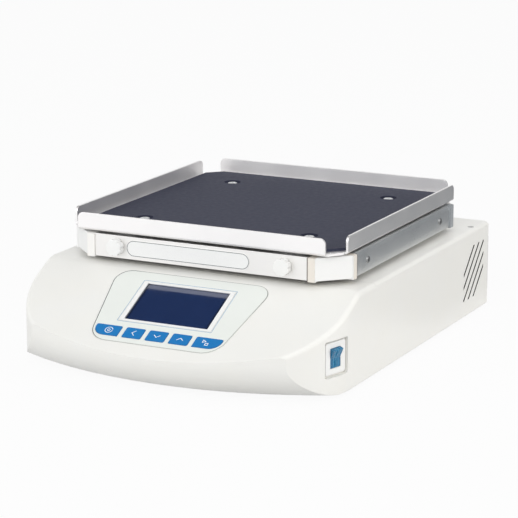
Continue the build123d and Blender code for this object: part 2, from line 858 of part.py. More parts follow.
def make_rail(side):
    """A side rail: a channel with a large rounded top edge and two screw holes."""
    outer_x = side * frame_half_width
    inner_x = side * (frame_half_width - rail_depth)
    y0 = carriage_offset - rail_half_length
    y1 = carriage_offset + rail_half_length
    rail = block(outer_x, inner_x, y0, y1, frame_bottom, frame_top)
    top_edges = rail.edges().filter_by(Axis.Y).group_by(Axis.Z)[-1]
    rail = fillet(top_edges.sort_by(lambda e: abs(e.center().X))[-1], rail_edge_radius)
    cavity = block(side * (frame_half_width - channel_wall), side * (frame_half_width - rail_depth - 1),
                   y0 - 1, y1 + 1, frame_bottom + channel_wall, frame_top - channel_wall)
    cavity_edges = cavity.edges().filter_by(Axis.Y).group_by(Axis.Z)[-1]
    cavity = fillet(cavity_edges.sort_by(lambda e: abs(e.center().X))[-1], rail_edge_radius - channel_wall)
    rail -= cavity
    for sy in (-1, 1):
        y = carriage_offset + sy * frame_screw_y
        rail -= bar_x(side * frame_half_width - rail_depth, side * frame_half_width + rail_depth, y, knob_z,
                      screw_shank + 2 * running_fit)
    return rail


def make_corner(side_x, side_y):
    """A moulded frame corner: a plate across the corner between two upright ribs."""
    cut_x = beam_half_length + corner_rib_width
    cut_y = rail_half_length + corner_rib_width
    reach = corner_wall
    points = [
        (beam_half_length, frame_half_depth), (cut_x, frame_half_depth),
        (frame_half_width, cut_y), (frame_half_width, rail_half_length),
        (frame_half_width - reach, rail_half_length), (frame_half_width - reach, cut_y - reach / 3),
        (cut_x - reach / 3, frame_half_depth - reach), (beam_half_length, frame_half_depth - reach),
    ]
    plate = Pos(0, 0, frame_bottom) * extrude(make_face(Polyline(*points, close=True)), frame_height)
    proud = corner_rib_proud
    rib_low = frame_bottom - proud
    rib_high = frame_top - 0.2
    plate += block(beam_half_length, cut_x, frame_half_depth - reach, frame_half_depth + proud, rib_low, rib_high)
    plate += block(frame_half_width - reach, frame_half_width + proud, rail_half_length, cut_y, rib_low, rib_high)
    if side_x < 0:
        plate = mirror(plate, Plane.YZ)
    if side_y < 0:
        plate = mirror(plate, Plane.XZ)
    return Pos(0, carriage_offset, 0) * plate


def make_support_bar(side):
    """A bar from beam to beam that carries the tray and takes the post, screw and knob holes."""
    x = side * support_bar_offset
    y0 = carriage_offset - frame_half_depth + beam_depth
    y1 = carriage_offset + frame_half_depth - beam_depth
    bar = block(x - support_bar_width / 2, x + support_bar_width / 2, y0, y1, support_bar_bottom, tray_bottom)
    bar -= bar_y(x, y0 - 1, y0 + knob_stud_grip, knob_z, knob_stud + 2 * running_fit)
    bar -= bar_y(x, y1 - screw_depth, y1 + 1, knob_z, screw_shank + 2 * running_fit)
    for sy in (-1, 1):
        bar -= post(x, carriage_offset + sy * tray_screw_y, tray_bottom - screw_depth, tray_bottom + 1,
                    screw_shank + 2 * running_fit)
    return bar


def make_label_plate():
    """A thin blank plate with round ends on the front beam."""
    pill = Plane.XZ * SlotOverall(label_length, label_height)
    return Pos(label_offset, beam_front_y, knob_z) * extrude(pill, label_thickness)


def make_knob(side):
    """A lobed thumb knob on a stud that passes the front beam into the support bar."""
    face = Circle(knob_diameter / 2)
    for index in range(knob_lobes):
        angle = 2 * math.pi * index / knob_lobes
        reach = knob_diameter / 2 + knob_notch / 3
        face -= Pos(reach * math.cos(angle), reach * math.sin(angle)) * Circle(knob_notch)
    head = extrude(Plane.XZ * face, knob_length)
    rim = head.faces().sort_by(Axis.Y)[0].edges()
    head = chamfer(rim, knob_edge / 2)
    stud_length = seat_gap + beam_depth + knob_stud_grip - 1
    stud = Rot(90, 0, 0) * Pos(0, 0, -stud_length / 2) * Cylinder(knob_stud / 2, stud_length)
    return Pos(side * support_bar_offset, beam_front_y - seat_gap, knob_z) * (head + stud)


def folded_strip(half_across, half_along):
    """A strip of the sheet with a flange turned up at each end, along Y, with rounded free corners."""
    outer = Pos(0, flange_height / 2) * Rectangle(2 * half_across, flange_height)
    outer = fillet(outer.vertices().group_by(Axis.Y)[0], fold_radius)
    inner = Pos(0, flange_height / 2 + tray_sheet) * Rectangle(2 * (half_across - tray_sheet), flange_height)
    inner = fillet(inner.vertices().group_by(Axis.Y)[0], fold_radius - tray_sheet)
    strip = extrude(Plane.XZ * (outer - inner), half_along, both=True)
    side_view = Pos(0, flange_height / 2) * Rectangle(2 * half_along, flange_height)
    side_view = fillet(side_view.vertices().group_by(Axis.Y)[-1], flange_corner_radius)
    return strip & extrude(Plane.YZ * side_view, 2 * half_across, both=True)


def make_tray():
    """One folded sheet: floor with cut corners and four upturned flanges with open corners."""
    corner_points = [(flange_half_length, tray_half_depth), (tray_half_width, flange_half_length)]
    outline = []
    for sx, sy, flip in ((1, 1, False), (1, -1, True), (-1, -1, False), (-1, 1, True)):
        pair = [(sx * x, sy * y) for x, y in corner_points]
        outline += pair[::-1] if flip else pair
    tray = extrude(make_face(Polyline(*outline, close=True)), tray_sheet)
    tray &= Box(2 * (tray_half_width - fold_radius), 2 * (tray_half_depth - fold_radius), 4 * tray_sheet)
    tray += folded_strip(tray_half_width, flange_half_length)
    tray += Rot(0, 0, 90) * folded_strip(tray_half_depth, flange_half_length)
    for x, y in corners(support_bar_offset, tray_screw_y) + corners(corner_hole_x, corner_hole_y):
        tray -= post(x, y, -1, tray_sheet + 1, screw_shank + 2 * running_fit)
    return Pos(0, carriage_offset, tray_bottom) * tray


def make_mat():
    """The rubber mat with cut corners and four screw holes."""
    face = Rectangle(2 * mat_half_width, 2 * mat_half_depth)
    face = chamfer(face.vertices(), mat_corner_cut)
    for x, y in corners(support_bar_offset, tray_screw_y):
        face -= Pos(x, y) * Circle(mat_hole / 2)
    return Pos(0, carriage_offset, tray_floor_top) * extrude(face, mat_thickness)


def make_carriage_screws():
    """The tray screws and the screws of the side rails and rear beam."""
    screws = []
    for x, y in corners(support_bar_offset, tray_screw_y, carriage_offset):
        screws.append(
            post(x, y, tray_floor_top, tray_floor_top + tray_screw_head_height, tray_screw_head)
            + post(x, y, tray_bottom - screw_depth + 1, tray_floor_top, screw_shank))
    for sx in (-1, 1):
        for sy in (-1, 1):
            y = carriage_offset + sy * frame_screw_y
            face_x = frame_half_width
            head = bar_x(face_x, face_x + frame_screw_head_height, y, knob_z, frame_screw_head)
            shank = bar_x(face_x - screw_depth, face_x, y, knob_z, screw_shank)
            screws.append(head + shank if sx > 0 else mirror(head + shank, Plane.YZ))
    for sx in (-1, 1):
        x = sx * support_bar_offset
        y = carriage_offset + frame_half_depth
        screws.append(
            bar_y(x, y, y + frame_screw_head_height, knob_z, frame_screw_head)
            + bar_y(x, y - beam_depth - screw_depth + 1, y, knob_z, screw_shank))
    return screws


def carriage_post_places():
    return [(sx * support_bar_offset, y) for sx in (-1, 1) for y in (rod_front_y, rod_rear_y)]


def make_slider(y):
    """A slider bar bored for the guide rod, with a bushing seat near each end."""
    bar = block(-slider_half_length, slider_half_length, y - slider_depth / 2, y + slider_depth / 2,
                slider_bottom, slider_top)
    bar -= bar_x(-slider_half_length - 1, slider_half_length + 1, y, rod_height, rod_diameter + 2)
    for side in (-1, 1):
        x = side * (slider_half_length - bushing_length / 2)
        bar -= bar_x(x - bushing_length / 2, x + bushing_length / 2, y, rod_height,
                     bushing_diameter + 2 * running_fit)
    return bar


def make_bushings():
    """Four linear bushings, two on each guide rod."""
    bushings = []
    for y in (rod_front_y, rod_rear_y):
        for side in (-1, 1):
            x = side * (slider_half_length - bushing_length / 2)
            shell = bar_x(x - bushing_length / 2, x + bushing_length / 2, y, rod_height, bushing_diameter)
            bushings.append(shell - bar_x(x - bushing_length, x + bushing_length, y, rod_height,
                                          rod_diameter + 2 * running_fit))
    return bushings


def make_bridge():
    """The plate that joins both slider bars and carries the wrist pin."""
    plate = block(wrist_x - bridge_half_width, wrist_x + bridge_half_width,
                  rod_front_y - slider_depth / 2, rod_rear_y + slider_depth / 2,
                  slider_top, slider_top + bridge_thickness)
    return plate - post(wrist_x, wrist_y, slider_top - 1, slider_top + bridge_thickness + 1,
                        pin_diameter + 2 * running_fit)


def make_wrist_pin():
    """The pin that hangs from the bridge through the small eye, with a flange below the eye."""
    pin = post(wrist_x, wrist_y, rod_bottom - wrist_flange_height, slider_top + bridge_thickness, pin_diameter)
    return pin + post(wrist_x, wrist_y, rod_bottom - wrist_flange_height, rod_bottom - pin_clearance, pin_flange)


def make_rod_support(side):
    """An upright that holds one end of both guide rods, cut out in the middle."""
    x0 = side * rod_half_length
    x1 = side * (rod_half_length - rod_support_thickness)
    y0 = rod_front_y - rod_support_margin
    y1 = rod_rear_y + rod_support_margin
    upright = block(x0, x1, y0, y1, base_top, rod_support_top)
    upright -= block(x0 - side, x1 + side, rod_front_y + rod_support_margin, rod_rear_y - rod_support_margin,
                     base_top + rod_support_thickness, rod_support_top + 1)
    for y in (rod_front_y, rod_rear_y):
        upright -= bar_x(-rod_half_length - 1, rod_half_length + 1, y, rod_height, rod_diameter + 2 * running_fit)
    return upright


def make_spindle_housing():
    """A flanged barrel with a bearing seat at each end and a shoulder between them."""
    housing = post(crank_x, carriage_offset, base_top, base_top + spindle_flange_height, spindle_flange_diameter)
    housing += post(crank_x, carriage_offset, base_top, spindle_barrel_top, spindle_barrel_diameter)
    housing -= post(crank_x, carriage_offset, base_top - 1, spindle_barrel_top + 1, spindle_diameter + 6)
    for z in spindle_bearing_floors():
        housing -= post(crank_x, carriage_offset, z, z + spindle_bearing_width,
                        spindle_bearing_diameter + 2 * running_fit)
    return housing


def spindle_bearing_floors():
    return [spindle_bottom, spindle_barrel_top - spindle_bearing_width]


def make_spindle_bearings():
    """The two ball bearings of the crank spindle."""
    bearings = []
    for z in spindle_bearing_floors():
        ring = post(crank_x, carriage_offset, z, z + spindle_bearing_width, spindle_bearing_diameter)
        bearings.append(ring - post(crank_x, carriage_offset, z - 1, z + spindle_bearing_width + 1,
                                    spindle_diameter + 2 * running_fit))
    return bearings


def make_spindle():
    return post(crank_x, carriage_offset, spindle_bottom, crank_disc_top - crank_disc_height / 2, spindle_diameter)


def grooved_pulley(x, y, radius, bore):
    """A flat-belt pulley with a flange at each side."""
    top = pulley_bottom + pulley_height
    pulley = post(x, y, pulley_bottom, top, 2 * radius)
    for z in (pulley_bottom, top - pulley_flange_thickness):
        pulley += post(x, y, z, z + pulley_flange_thickness, 2 * (radius + pulley_flange))
    return pulley - post(x, y, pulley_bottom - 1, top + 1, bore + 2 * running_fit)


def make_driven_pulley():
    """The large pulley with round lightening holes."""
    pulley = grooved_pulley(crank_x, carriage_offset, driven_radius, spindle_diameter)
    for index in range(pulley_hole_count):
        angle = 2 * math.pi * (index + 0.5) / pulley_hole_count
        pulley -= post(crank_x + pulley_hole_circle * math.cos(angle),
                       carriage_offset + pulley_hole_circle * math.sin(angle),
                       pulley_bottom - 1, pulley_bottom + pulley_height + 1, pulley_hole)
    return pulley


def make_crank_disc():
    """The eccentric disc, bored on its underside for the spindle and above for the crank pin."""
    bottom = crank_disc_top - crank_disc_height
    disc = post(crank_x, carriage_offset, bottom, crank_disc_top, crank_disc_diameter)
    disc -= post(crank_x, carriage_offset, bottom - 1, crank_disc_top - crank_disc_height / 2,
                 spindle_diameter + 2 * running_fit)
    return disc - post(crank_x, crank_pin_y, crank_disc_top - crank_pin_hole_depth, crank_disc_top + 1,
                       crank_pin_hole)


def make_connecting_rod():
    """A flat rod with a bearing eye over the crank and a plain eye on the wrist pin."""
    big = Pos(crank_x, crank_pin_y) * Circle(big_eye_diameter / 2)
    small = Pos(wrist_x, wrist_y) * Circle(small_eye_diameter / 2)
    middle = Pos((crank_x + wrist_x) / 2, (crank_pin_y + wrist_y) / 2)
    lean = math.degrees(math.atan2(wrist_y - crank_pin_y, wrist_x - crank_x))
    web = middle * Rot(0, 0, lean) * Rectangle(rod_length, rod_web)
    shape = big + small + web
    shape -= Pos(crank_x, crank_pin_y) * Circle(pin_bearing_diameter / 2 + running_fit)
    shape -= Pos(wrist_x, wrist_y) * Circle(pin_diameter / 2 + running_fit)
    return Pos(0, 0, rod_bottom) * extrude(shape, rod_thickness)


def make_pin_bearing():
    """The ball bearing in the big eye."""
    z0 = rod_bottom + (rod_thickness - pin_bearing_width) / 2
    ring = post(crank_x, crank_pin_y, z0, z0 + pin_bearing_width, pin_bearing_diameter)
    return ring - post(crank_x, crank_pin_y, z0 - 1, z0 + pin_bearing_width + 1, pin_diameter + 2 * running_fit)


def make_crank_pin():
    """The shouldered crank pin: flange over the disc, shank in the bearing, head on top."""
    bearing_top = rod_bottom + (rod_thickness + pin_bearing_width) / 2
    pin = post(crank_x, crank_pin_y, pin_bottom, rod_bottom + (rod_thickness - pin_bearing_width) / 2, pin_flange)
    pin += post(crank_x, crank_pin_y, pin_bottom, bearing_top, pin_diameter)
    return pin + post(crank_x, crank_pin_y, bearing_top, bearing_top + pin_head_height, pin_flange)


def belt_loop(gap):
    """The outline of the belt round both pulleys, off their surfaces by gap."""
    small = Pos(crank_x, motor_y) * Circle(motor_pulley_radius + gap)
    large = Pos(crank_x, carriage_offset) * Circle(driven_radius + gap)
    return make_hull(small.edges() + large.edges())


def make_drive_belt():
    """The flat belt between the motor pulley and the driven pulley."""
    loop = belt_loop(belt_gap + belt_thickness) - belt_loop(belt_gap)
    return Pos(0, 0, pulley_bottom + (pulley_height - belt_width) / 2) * extrude(loop, belt_width)


def make_motor_plate():
    half = motor_plate / 2
    plate = block(crank_x - half, crank_x + half, motor_y - half, motor_y + half, base_top,
                  base_top + motor_plate_thickness)
    return plate


def make_motor():
    """A flat brushless motor with a finned case and a shaft boss."""
    z0 = base_top + motor_plate_thickness
    z1 = z0 + motor_height
    body = post(crank_x, motor_y, z0, z1, motor_diameter)
    for index in range(motor_fin_count):
        angle = 360 * index / motor_fin_count
        groove = Pos(motor_diameter / 2, 0, (z0 + z1) / 2) * Box(2 * motor_fin_depth, motor_fin_width,
                                                                 motor_height - 2 * motor_fin_width)
        body -= Pos(crank_x, motor_y, 0) * Rot(0, 0, angle) * groove
    body += post(crank_x, motor_y, z1, z1 + 1, motor_boss_diameter)
    return body - post(crank_x, motor_y, z0 + motor_height / 2, z1 + 2, motor_shaft_diameter + 2 * running_fit)


def make_motor_shaft():
    z0 = base_top + motor_plate_thickness + motor_height / 2
    return post(crank_x, motor_y, z0 + seat_gap, pulley_bottom + pulley_height + 2, motor_shaft_diameter)


def make_posts():
    """Four posts from the slider bars up to the support bars."""
    return [post(x, y, slider_top, support_bar_bottom, post_diameter) for x, y in carriage_post_places()]


def save(name, shape):
    """Write one sub-part. A list of solids is one node of like pieces."""
    if isinstance(shape, list):
        shape = Compound(children=shape)
    shape.label = name
    export_step(shape, os.path.join("parts", name + ".step"))


def main():
    os.makedirs("parts", exist_ok=True)
    form = outer_form()
    save("front_housing", make_front_housing(form))
    save("top_cover", make_top_cover(form))
    save("base_plate", make_base_plate())
    save("rubber_feet", [make_foot(x, y) for x, y in foot_places()])
    save("rear_panel", make_rear_panel())
    save("power_inlet", make_power_inlet())
    save("housing_screws", make_housing_screws())
    save("control_overlay", make_overlay())
    save("display_bezel", make_display_bezel())
    save("display_module", make_display())
    save("display_board", make_display_board())
    for index in range(5):
        save(f"key_{index + 1}", make_key(index))
    save("control_board", make_control_board())
    save("board_standoffs", make_board_standoffs())
    save("power_supply", make_power_supply())
    save("switch_frame", make_switch_frame())
    save("rocker", make_rocker())
    save("front_beam", make_beam(-1))
    save("rear_beam", make_beam(1))
    save("left_rail", make_rail(-1))
    save("right_rail", make_rail(1))
    for name, sx, sy in (("front_left", -1, -1), ("front_right", 1, -1),
                         ("rear_left", -1, 1), ("rear_right", 1, 1)):
        save(f"corner_{name}", make_corner(sx, sy))
    save("left_support_bar", make_support_bar(-1))
    save("right_support_bar", make_support_bar(1))
    save("label_plate", make_label_plate())
    save("left_knob", make_knob(-1))
    save("right_knob", make_knob(1))
    save("tray", make_tray())
    save("tray_mat", make_mat())
    save("carriage_screws", make_carriage_screws())
    save("carriage_posts", make_posts())
    save("front_slider", make_slider(rod_front_y))
    save("rear_slider", make_slider(rod_rear_y))
    save("linear_bushings", make_bushings())
    save("slider_bridge", make_bridge())
    save("wrist_pin", make_wrist_pin())
    save("front_guide_rod", bar_x(-rod_half_length, rod_half_length, rod_front_y, rod_height, rod_diameter))
    save("rear_guide_rod", bar_x(-rod_half_length, rod_half_length, rod_rear_y, rod_height, rod_diameter))
    save("left_rod_support", make_rod_support(-1))
    save("right_rod_support", make_rod_support(1))
    save("spindle_housing", make_spindle_housing())
    save("spindle_bearings", make_spindle_bearings())
    save("crank_spindle", make_spindle())
    save("driven_pulley", make_driven_pulley())
    save("crank_disc", make_crank_disc())
    save("connecting_rod", make_connecting_rod())
    save("crank_pin_bearing", make_pin_bearing())
    save("crank_pin", make_crank_pin())
    save("drive_belt", make_drive_belt())
    save("motor_plate", make_motor_plate())
    save("motor", make_motor())
    save("motor_shaft", make_motor_shaft())
    save("motor_pulley", grooved_pulley(crank_x, motor_y, motor_pulley_radius, motor_shaft_diameter))


main()
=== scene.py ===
import math

import bmesh
import bpy
from mathutils import Matrix, Vector


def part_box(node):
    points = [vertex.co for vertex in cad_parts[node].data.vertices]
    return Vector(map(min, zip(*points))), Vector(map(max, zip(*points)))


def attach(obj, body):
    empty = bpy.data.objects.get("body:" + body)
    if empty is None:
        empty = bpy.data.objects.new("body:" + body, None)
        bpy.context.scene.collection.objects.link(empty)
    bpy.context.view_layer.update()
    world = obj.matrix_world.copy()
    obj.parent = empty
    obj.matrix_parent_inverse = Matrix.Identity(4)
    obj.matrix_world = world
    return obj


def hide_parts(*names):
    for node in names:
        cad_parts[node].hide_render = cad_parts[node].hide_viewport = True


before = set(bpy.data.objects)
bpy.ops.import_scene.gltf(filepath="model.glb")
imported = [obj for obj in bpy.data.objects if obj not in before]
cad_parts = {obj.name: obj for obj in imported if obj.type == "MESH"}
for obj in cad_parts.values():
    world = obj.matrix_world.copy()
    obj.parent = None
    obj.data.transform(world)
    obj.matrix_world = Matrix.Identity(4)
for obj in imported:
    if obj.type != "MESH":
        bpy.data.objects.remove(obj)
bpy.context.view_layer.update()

MM = 0.001

# Places that the frame gives, in metres
housing_low, housing_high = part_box("front_housing")
tray_low, tray_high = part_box("tray")
pill_low, pill_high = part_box("label_plate")
beam_low, beam_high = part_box("front_beam")
mat_low, mat_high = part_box("tray_mat")
TOP_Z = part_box("top_cover")[1][2]
LEFT_RAIL_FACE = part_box("left_rail")[0][0]
RIGHT_RAIL_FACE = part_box("right_rail")[1][0]
REAR_BEAM_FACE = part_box("rear_beam")[1][1]
TRAY_CENTER_X = (tray_low[0] + tray_high[0]) / 2
TRAY_CENTER_Y = (tray_low[1] + tray_high[1]) / 2
FRAME_CENTER_X = (beam_low[0] + beam_high[0]) / 2
HALF_WIDTH = housing_high[0]
REAR_Y = housing_high[1]

# Control panel: its slope falls forwards from the knee line, and lengths run down the slope from there
SLOPE_ANGLE = math.radians(26.0)
KNEE_Y = housing_low[1] + 101.5 * MM
PANEL_X = 0.0
PANEL_TOP = 7.0 * MM
PANEL_BOTTOM = 97.5 * MM
PANEL_HALF_TOP = 75.5 * MM
PANEL_HALF_BOTTOM = 59.5 * MM
PANEL_TOP_ROUND = 14.0 * MM
PANEL_BOTTOM_ROUND = 19.0 * MM
OUTLINE_INSET = 0.45 * MM
OUTLINE_WIDTH = 0.6 * MM
# The outline carries painted shade up to the first of these places across, and is faint from the second
OUTLINE_SHADE_TO = -62.0 * MM
OUTLINE_FAINT_FROM = -46.0 * MM
OUTLINE_RIGHT_FROM = 68.0 * MM
OUTLINE_RIGHT_TO = 74.0 * MM
DISPLAY_CENTER = 44.9 * MM
DISPLAY_BORDER = 2.6 * MM
BEZEL_WIDTH = 87.0 * MM
BEZEL_HEIGHT = 52.0 * MM
WINDOW_GAP = 0.9 * MM
WINDOW_ROUND = 0.8 * MM
WINDOW_LINE = 0.45 * MM
KEY_CENTER = 84.8 * MM
KEY_PITCH = 21.9 * MM
OUTER_KEY_SHIFT = 1.6 * MM
SYMBOL = 2.3 * MM
ARROW = 3.0 * MM
SYMBOL_LINE = 0.62 * MM
TARGET_SWEEP = 345.0

# Printed lines: heights of their faces above the slope, reach of the ink to both sides of a face, and the
# least share of a line's half width that a mitre is worked out with
KEY_FACE = 0.6 * MM
FILM_FACE = 0.2 * MM
INK_REACH = 0.04 * MM
MITRE_LEAST = 0.4

# Blank plate on the front beam
LABEL_INSET = 0.5 * MM
LABEL_LINE = 0.5 * MM

# Side vents, and the painted shade on their walls and on the housing's inside behind them
VENT_REAR = 41.5 * MM
VENT_HEIGHT = 41.8 * MM
VENT_HALF = 25.0 * MM
VENT_SKIN = 0.06 * MM
VENT_DEPTH = 120.0 * MM
REAR_SKIN = 1.2 * MM

# Ribs at the ends of the frame corners, and the seam beside them
RIB_WIDTH = 7.4 * MM
SEAM_WIDTH = 0.9 * MM

# Power switch
SWITCH_ANGLE = math.radians(15.0)
ROCKER_RIB_PITCH = 3.0 * MM
ROCKER_RIB_REACH = 4.2 * MM

# Carriage screws; a head is its radius, its height and its socket's radius
SCREW_SIDES = 24
TRAY_SCREW_X = 80.0 * MM
TRAY_SCREW_Y = 85.0 * MM
RAIL_SCREW_Y = 81.0 * MM
BEAM_SCREW_X = 80.0 * MM
TRAY_SHEET = 2.0 * MM
SHANK_RADIUS = 1.45 * MM
SHANK_LENGTH = 9.0 * MM
TRAY_HEAD = (4.6 * MM, 1.7 * MM, 1.5 * MM)
SIDE_HEAD = (3.0 * MM, 1.2 * MM, 1.25 * MM)
# Screws further out than this in x carry painted shade
SCREW_SHADE_FROM = 100.0 * MM

# Mat, with thin dark rings in its holes as painted shade
MAT_HALF_WIDTH = 124.6 * MM
MAT_HALF_DEPTH = 126.2 * MM
MAT_SHIFT = 1.4 * MM
MAT_CUT = 13.0 * MM
MAT_HOLE_RADIUS = 7.75 * MM
MAT_HOLE_SIDES = 32
HOLE_SHADE_RING_INNER = 4.8 * MM
HOLE_SHADE_RING_OUTER = 7.7 * MM
HOLE_SHADE_RING_HEIGHT = 0.3 * MM

# Thumb knobs; the CAD length gives the place of the knob's back
KNOB_RADIUS = 7.6 * MM
KNOB_LENGTH = 6.5 * MM
KNOB_CAD_LENGTH = 11.0 * MM
KNOB_LOBES = 8
KNOB_NOTCH = 1.2 * MM
KNOB_ROUND = 0.8 * MM
KNOB_BACK_EDGE = 0.3 * MM
KNOB_CROWN = 0.15 * MM
KNOB_STUD = 2.95 * MM
KNOB_STEPS = 12

# Colours, linear
HOUSING_WHITE = (0.84, 0.835, 0.805)
YELLOWING = (1.0, 0.985, 0.95)
PART_WHITE = (0.86, 0.86, 0.85)
LABEL_WHITE = (0.85, 0.85, 0.84)
RIB_CREAM = (0.80, 0.75, 0.68)
RIB_PAINTED_LIGHT = (0.88, 0.865, 0.835)
RIB_REAR_PAINTED_SHADE = (0.30, 0.32, 0.34)
SEAM_SHADE = (0.16, 0.14, 0.13)
VENT_PAINTED_SHADE = (0.012, 0.012, 0.012)
FILM_GREY = (0.80, 0.825, 0.785)
LINE_INK_AND_SHADE = (0.085, 0.09, 0.095)
LINE_FAINT = (0.46, 0.46, 0.44)
INK_GREY = (0.17, 0.18, 0.19)
INK_WHITE = (0.88, 0.90, 0.92)
INK_BLUE = (0.28, 0.42, 0.60)
DISPLAY_NAVY = (0.010, 0.026, 0.092)
KEY_BLUE = (0.004, 0.18, 0.49)
ROCKER_BLUE = (0.006, 0.13, 0.27)
ROCKER_LIGHT = (0.05, 0.34, 0.58)
STEEL = (0.85, 0.84, 0.84)
RAIL_METAL = (0.84, 0.85, 0.85)
BEAM_METAL = (0.86, 0.85, 0.835)
SHAFT_STEEL = (0.66, 0.67, 0.68)
CAST_ALUMINIUM = (0.62, 0.63, 0.64)
SHEET_GREY = (0.52, 0.53, 0.53)
SHEET_WORN = (0.62, 0.62, 0.62)
MAT_SLATE = (0.036, 0.039, 0.064)
RUBBER_BLACK = (0.022, 0.022, 0.023)
BLACK_PLASTIC = (0.020, 0.020, 0.022)
BOARD_GREEN = (0.020, 0.125, 0.055)
TRACE_GREEN = (0.05, 0.22, 0.10)

# Camera, fitted to the photo
CAMERA_PLACE = (0.8748, -1.7487, 0.5467)
CAMERA_AIM = (-0.43206, 0.87037, -0.23616)
CAMERA_LENS = 157.4
CAMERA_SENSOR = 36.0
CAMERA_NEAR = 0.05
CAMERA_FAR = 50.0

# Lights: name, place, width and height, power, colour
WHITE = (1.0, 1.0, 1.0)
LIGHT_AIM = (0.0, 0.0, 0.06)
LIGHTS = [
    ("key_light", (0.6, -2.0, 1.2), (1.6, 1.2), 16.5, WHITE),
    ("left_light", (-1.15, -1.45, 0.8), (1.0, 0.8), 9.0, WHITE),
    ("top_light", (0.1, 0.2, 1.9), (1.8, 1.8), 5.0, WHITE),
    ("side_light", (1.9, 0.3, 0.7), (1.0, 1.0), 14.0, (1.0, 0.975, 0.945)),
]
WORLD_TINT = (0.97, 0.985, 1.0)
WORLD_STRENGTH = 0.55

# Floor and the screens that only reflections see; a level one is left, front, right, rear and height
FLOOR_SIZE = 6.0
FLOOR_GREY = (0.66, 0.66, 0.66)
FLOOR_ROUGHNESS = 0.9
FLOOR_GLOW_SHARE = 0.94
SCREEN_TINT = (0.9, 0.95, 1.0)
SCREEN_STRENGTH = 0.25
SCREEN_BLACK = (0.02, 0.02, 0.02)
SCREEN_LOW = (0.17, 0.1, 2.5, 2.8, 0.001)
SCREEN_HIGH = (-1.5, -0.1, 0.3, 1.1, 1.3)
SCREEN_TALL_FOOT = ((2.5, 0.1), (-0.1, 2.9))
SCREEN_TALL_HEIGHT = 2.0

materials = {}


def shaded(color, factor, most=1.0):
    """The colour made lighter or darker, each part of it at most the given value."""
    return tuple(min(most, c * factor) for c in color)


class Surface:
    """A principled material whose colour, roughness and relief are built up from noise."""

    def __init__(self, name, roughness=0.5, metallic=0.0, specular=0.5):
        material = bpy.data.materials.new(name)
        material.use_nodes = True
        materials[name] = material
        self.nodes = material.node_tree.nodes
        self.links = material.node_tree.links
        self.shader = self.nodes["Principled BSDF"]
        self.shader.inputs["Metallic"].default_value = metallic
        self.shader.inputs["Roughness"].default_value = roughness
        self.shader.inputs["Specular IOR Level"].default_value = specular
        self.place = self.nodes.new("ShaderNodeTexCoord").outputs["Object"]
        self.relief = None

    def node(self, kind, **settings):
        made = self.nodes.new(kind)
        for key, value in settings.items():
            setattr(made, key, value)
        return made

    def link(self, source, target):
        self.links.new(source, target)

    def stretched(self, scale):
        mapping = self.node("ShaderNodeMapping")
        mapping.inputs["Scale"].default_value = scale
        self.link(self.place, mapping.inputs["Vector"])
        return mapping.outputs["Vector"]

    def noise(self, scale, detail=2.0, stretch=None):
        made = self.node("ShaderNodeTexNoise")
        made.inputs["Scale"].default_value = scale
        made.inputs["Detail"].default_value = detail
        self.link(self.stretched(stretch) if stretch else self.place, made.inputs["Vector"])
        return made.outputs["Fac"]

    def spread(self, value, low, high, start=0.3, end=0.7):
        """A value turned into a range, low at the start and high at the end."""
        made = self.node("ShaderNodeMapRange")
        made.inputs["From Min"].default_value = start
        made.inputs["From Max"].default_value = end
        made.inputs["To Min"].default_value = low
        made.inputs["To Max"].default_value = high
        self.link(value, made.inputs["Value"])
        return made.outputs["Result"]

    def blend(self, fac, first, second):
        """A colour between two colours or colour outputs."""
        made = self.node("ShaderNodeMix", data_type="RGBA")
        self.link(fac, made.inputs["Factor"])
        for value, target in ((first, made.inputs["A"]), (second, made.inputs["B"])):
            if isinstance(value, tuple):
                target.default_value = (*value, 1.0)
            else:
                self.link(value, target)
        return made.outputs["Result"]

    def mottled(self, color, change, scale, detail=3.0):
        """The colour, a little lighter and darker from place to place."""
        return self.blend(self.noise(scale, detail), shaded(color, 1 - change), shaded(color, 1 + change))

    def paint(self, color):
        self.link(color, self.shader.inputs["Base Color"])

    def gloss(self, value):
        self.link(value, self.shader.inputs["Roughness"])

    def bevel(self, radius):
        made = self.node("ShaderNodeBevel", samples=4)
        made.inputs["Radius"].default_value = radius
        return made.outputs["Normal"]

    def round_edges(self, radius):
        self.relief = self.bevel(radius)

    def bump(self, height, strength, distance):
        made = self.node("ShaderNodeBump")
        made.inputs["Strength"].default_value = strength
        made.inputs["Distance"].default_value = distance
        self.link(height, made.inputs["Height"])
        if self.relief:
            self.link(self.relief, made.inputs["Normal"])
        self.relief = made.outputs["Normal"]

    def edge_mask(self, radius, strength):
        """The strength along sharp edges, zero on flat faces."""
        flat = self.node("ShaderNodeNewGeometry").outputs["Normal"]
        dot = self.node("ShaderNodeVectorMath", operation="DOT_PRODUCT")
        self.link(self.bevel(radius), dot.inputs[0])
        self.link(flat, dot.inputs[1])
        return self.spread(dot.outputs["Value"], strength, 0.0, start=0.75, end=0.99)

    def axis(self, index):
        split = self.node("ShaderNodeSeparateXYZ")
        self.link(self.place, split.inputs["Vector"])
        return split.outputs[index]

    def math(self, operation, first, second=None):
        made = self.node("ShaderNodeMath", operation=operation)
        for value, target in ((first, made.inputs[0]), (second, made.inputs[1])):
            if value is None:
                continue
            if isinstance(value, (int, float)):
                target.default_value = value
            else:
                self.link(value, target)
        return made.outputs["Value"]

    def times(self, first, second):
        """A product, which for two masks is where both hold."""
        return self.math("MULTIPLY", first, second)

    def away_from(self, index, middle):
        """Distance from a middle along one axis."""
        return self.math("ABSOLUTE", self.math("SUBTRACT", self.axis(index), middle))

    def done(self):
        if self.relief:
            self.link(self.relief, self.shader.inputs["Normal"])


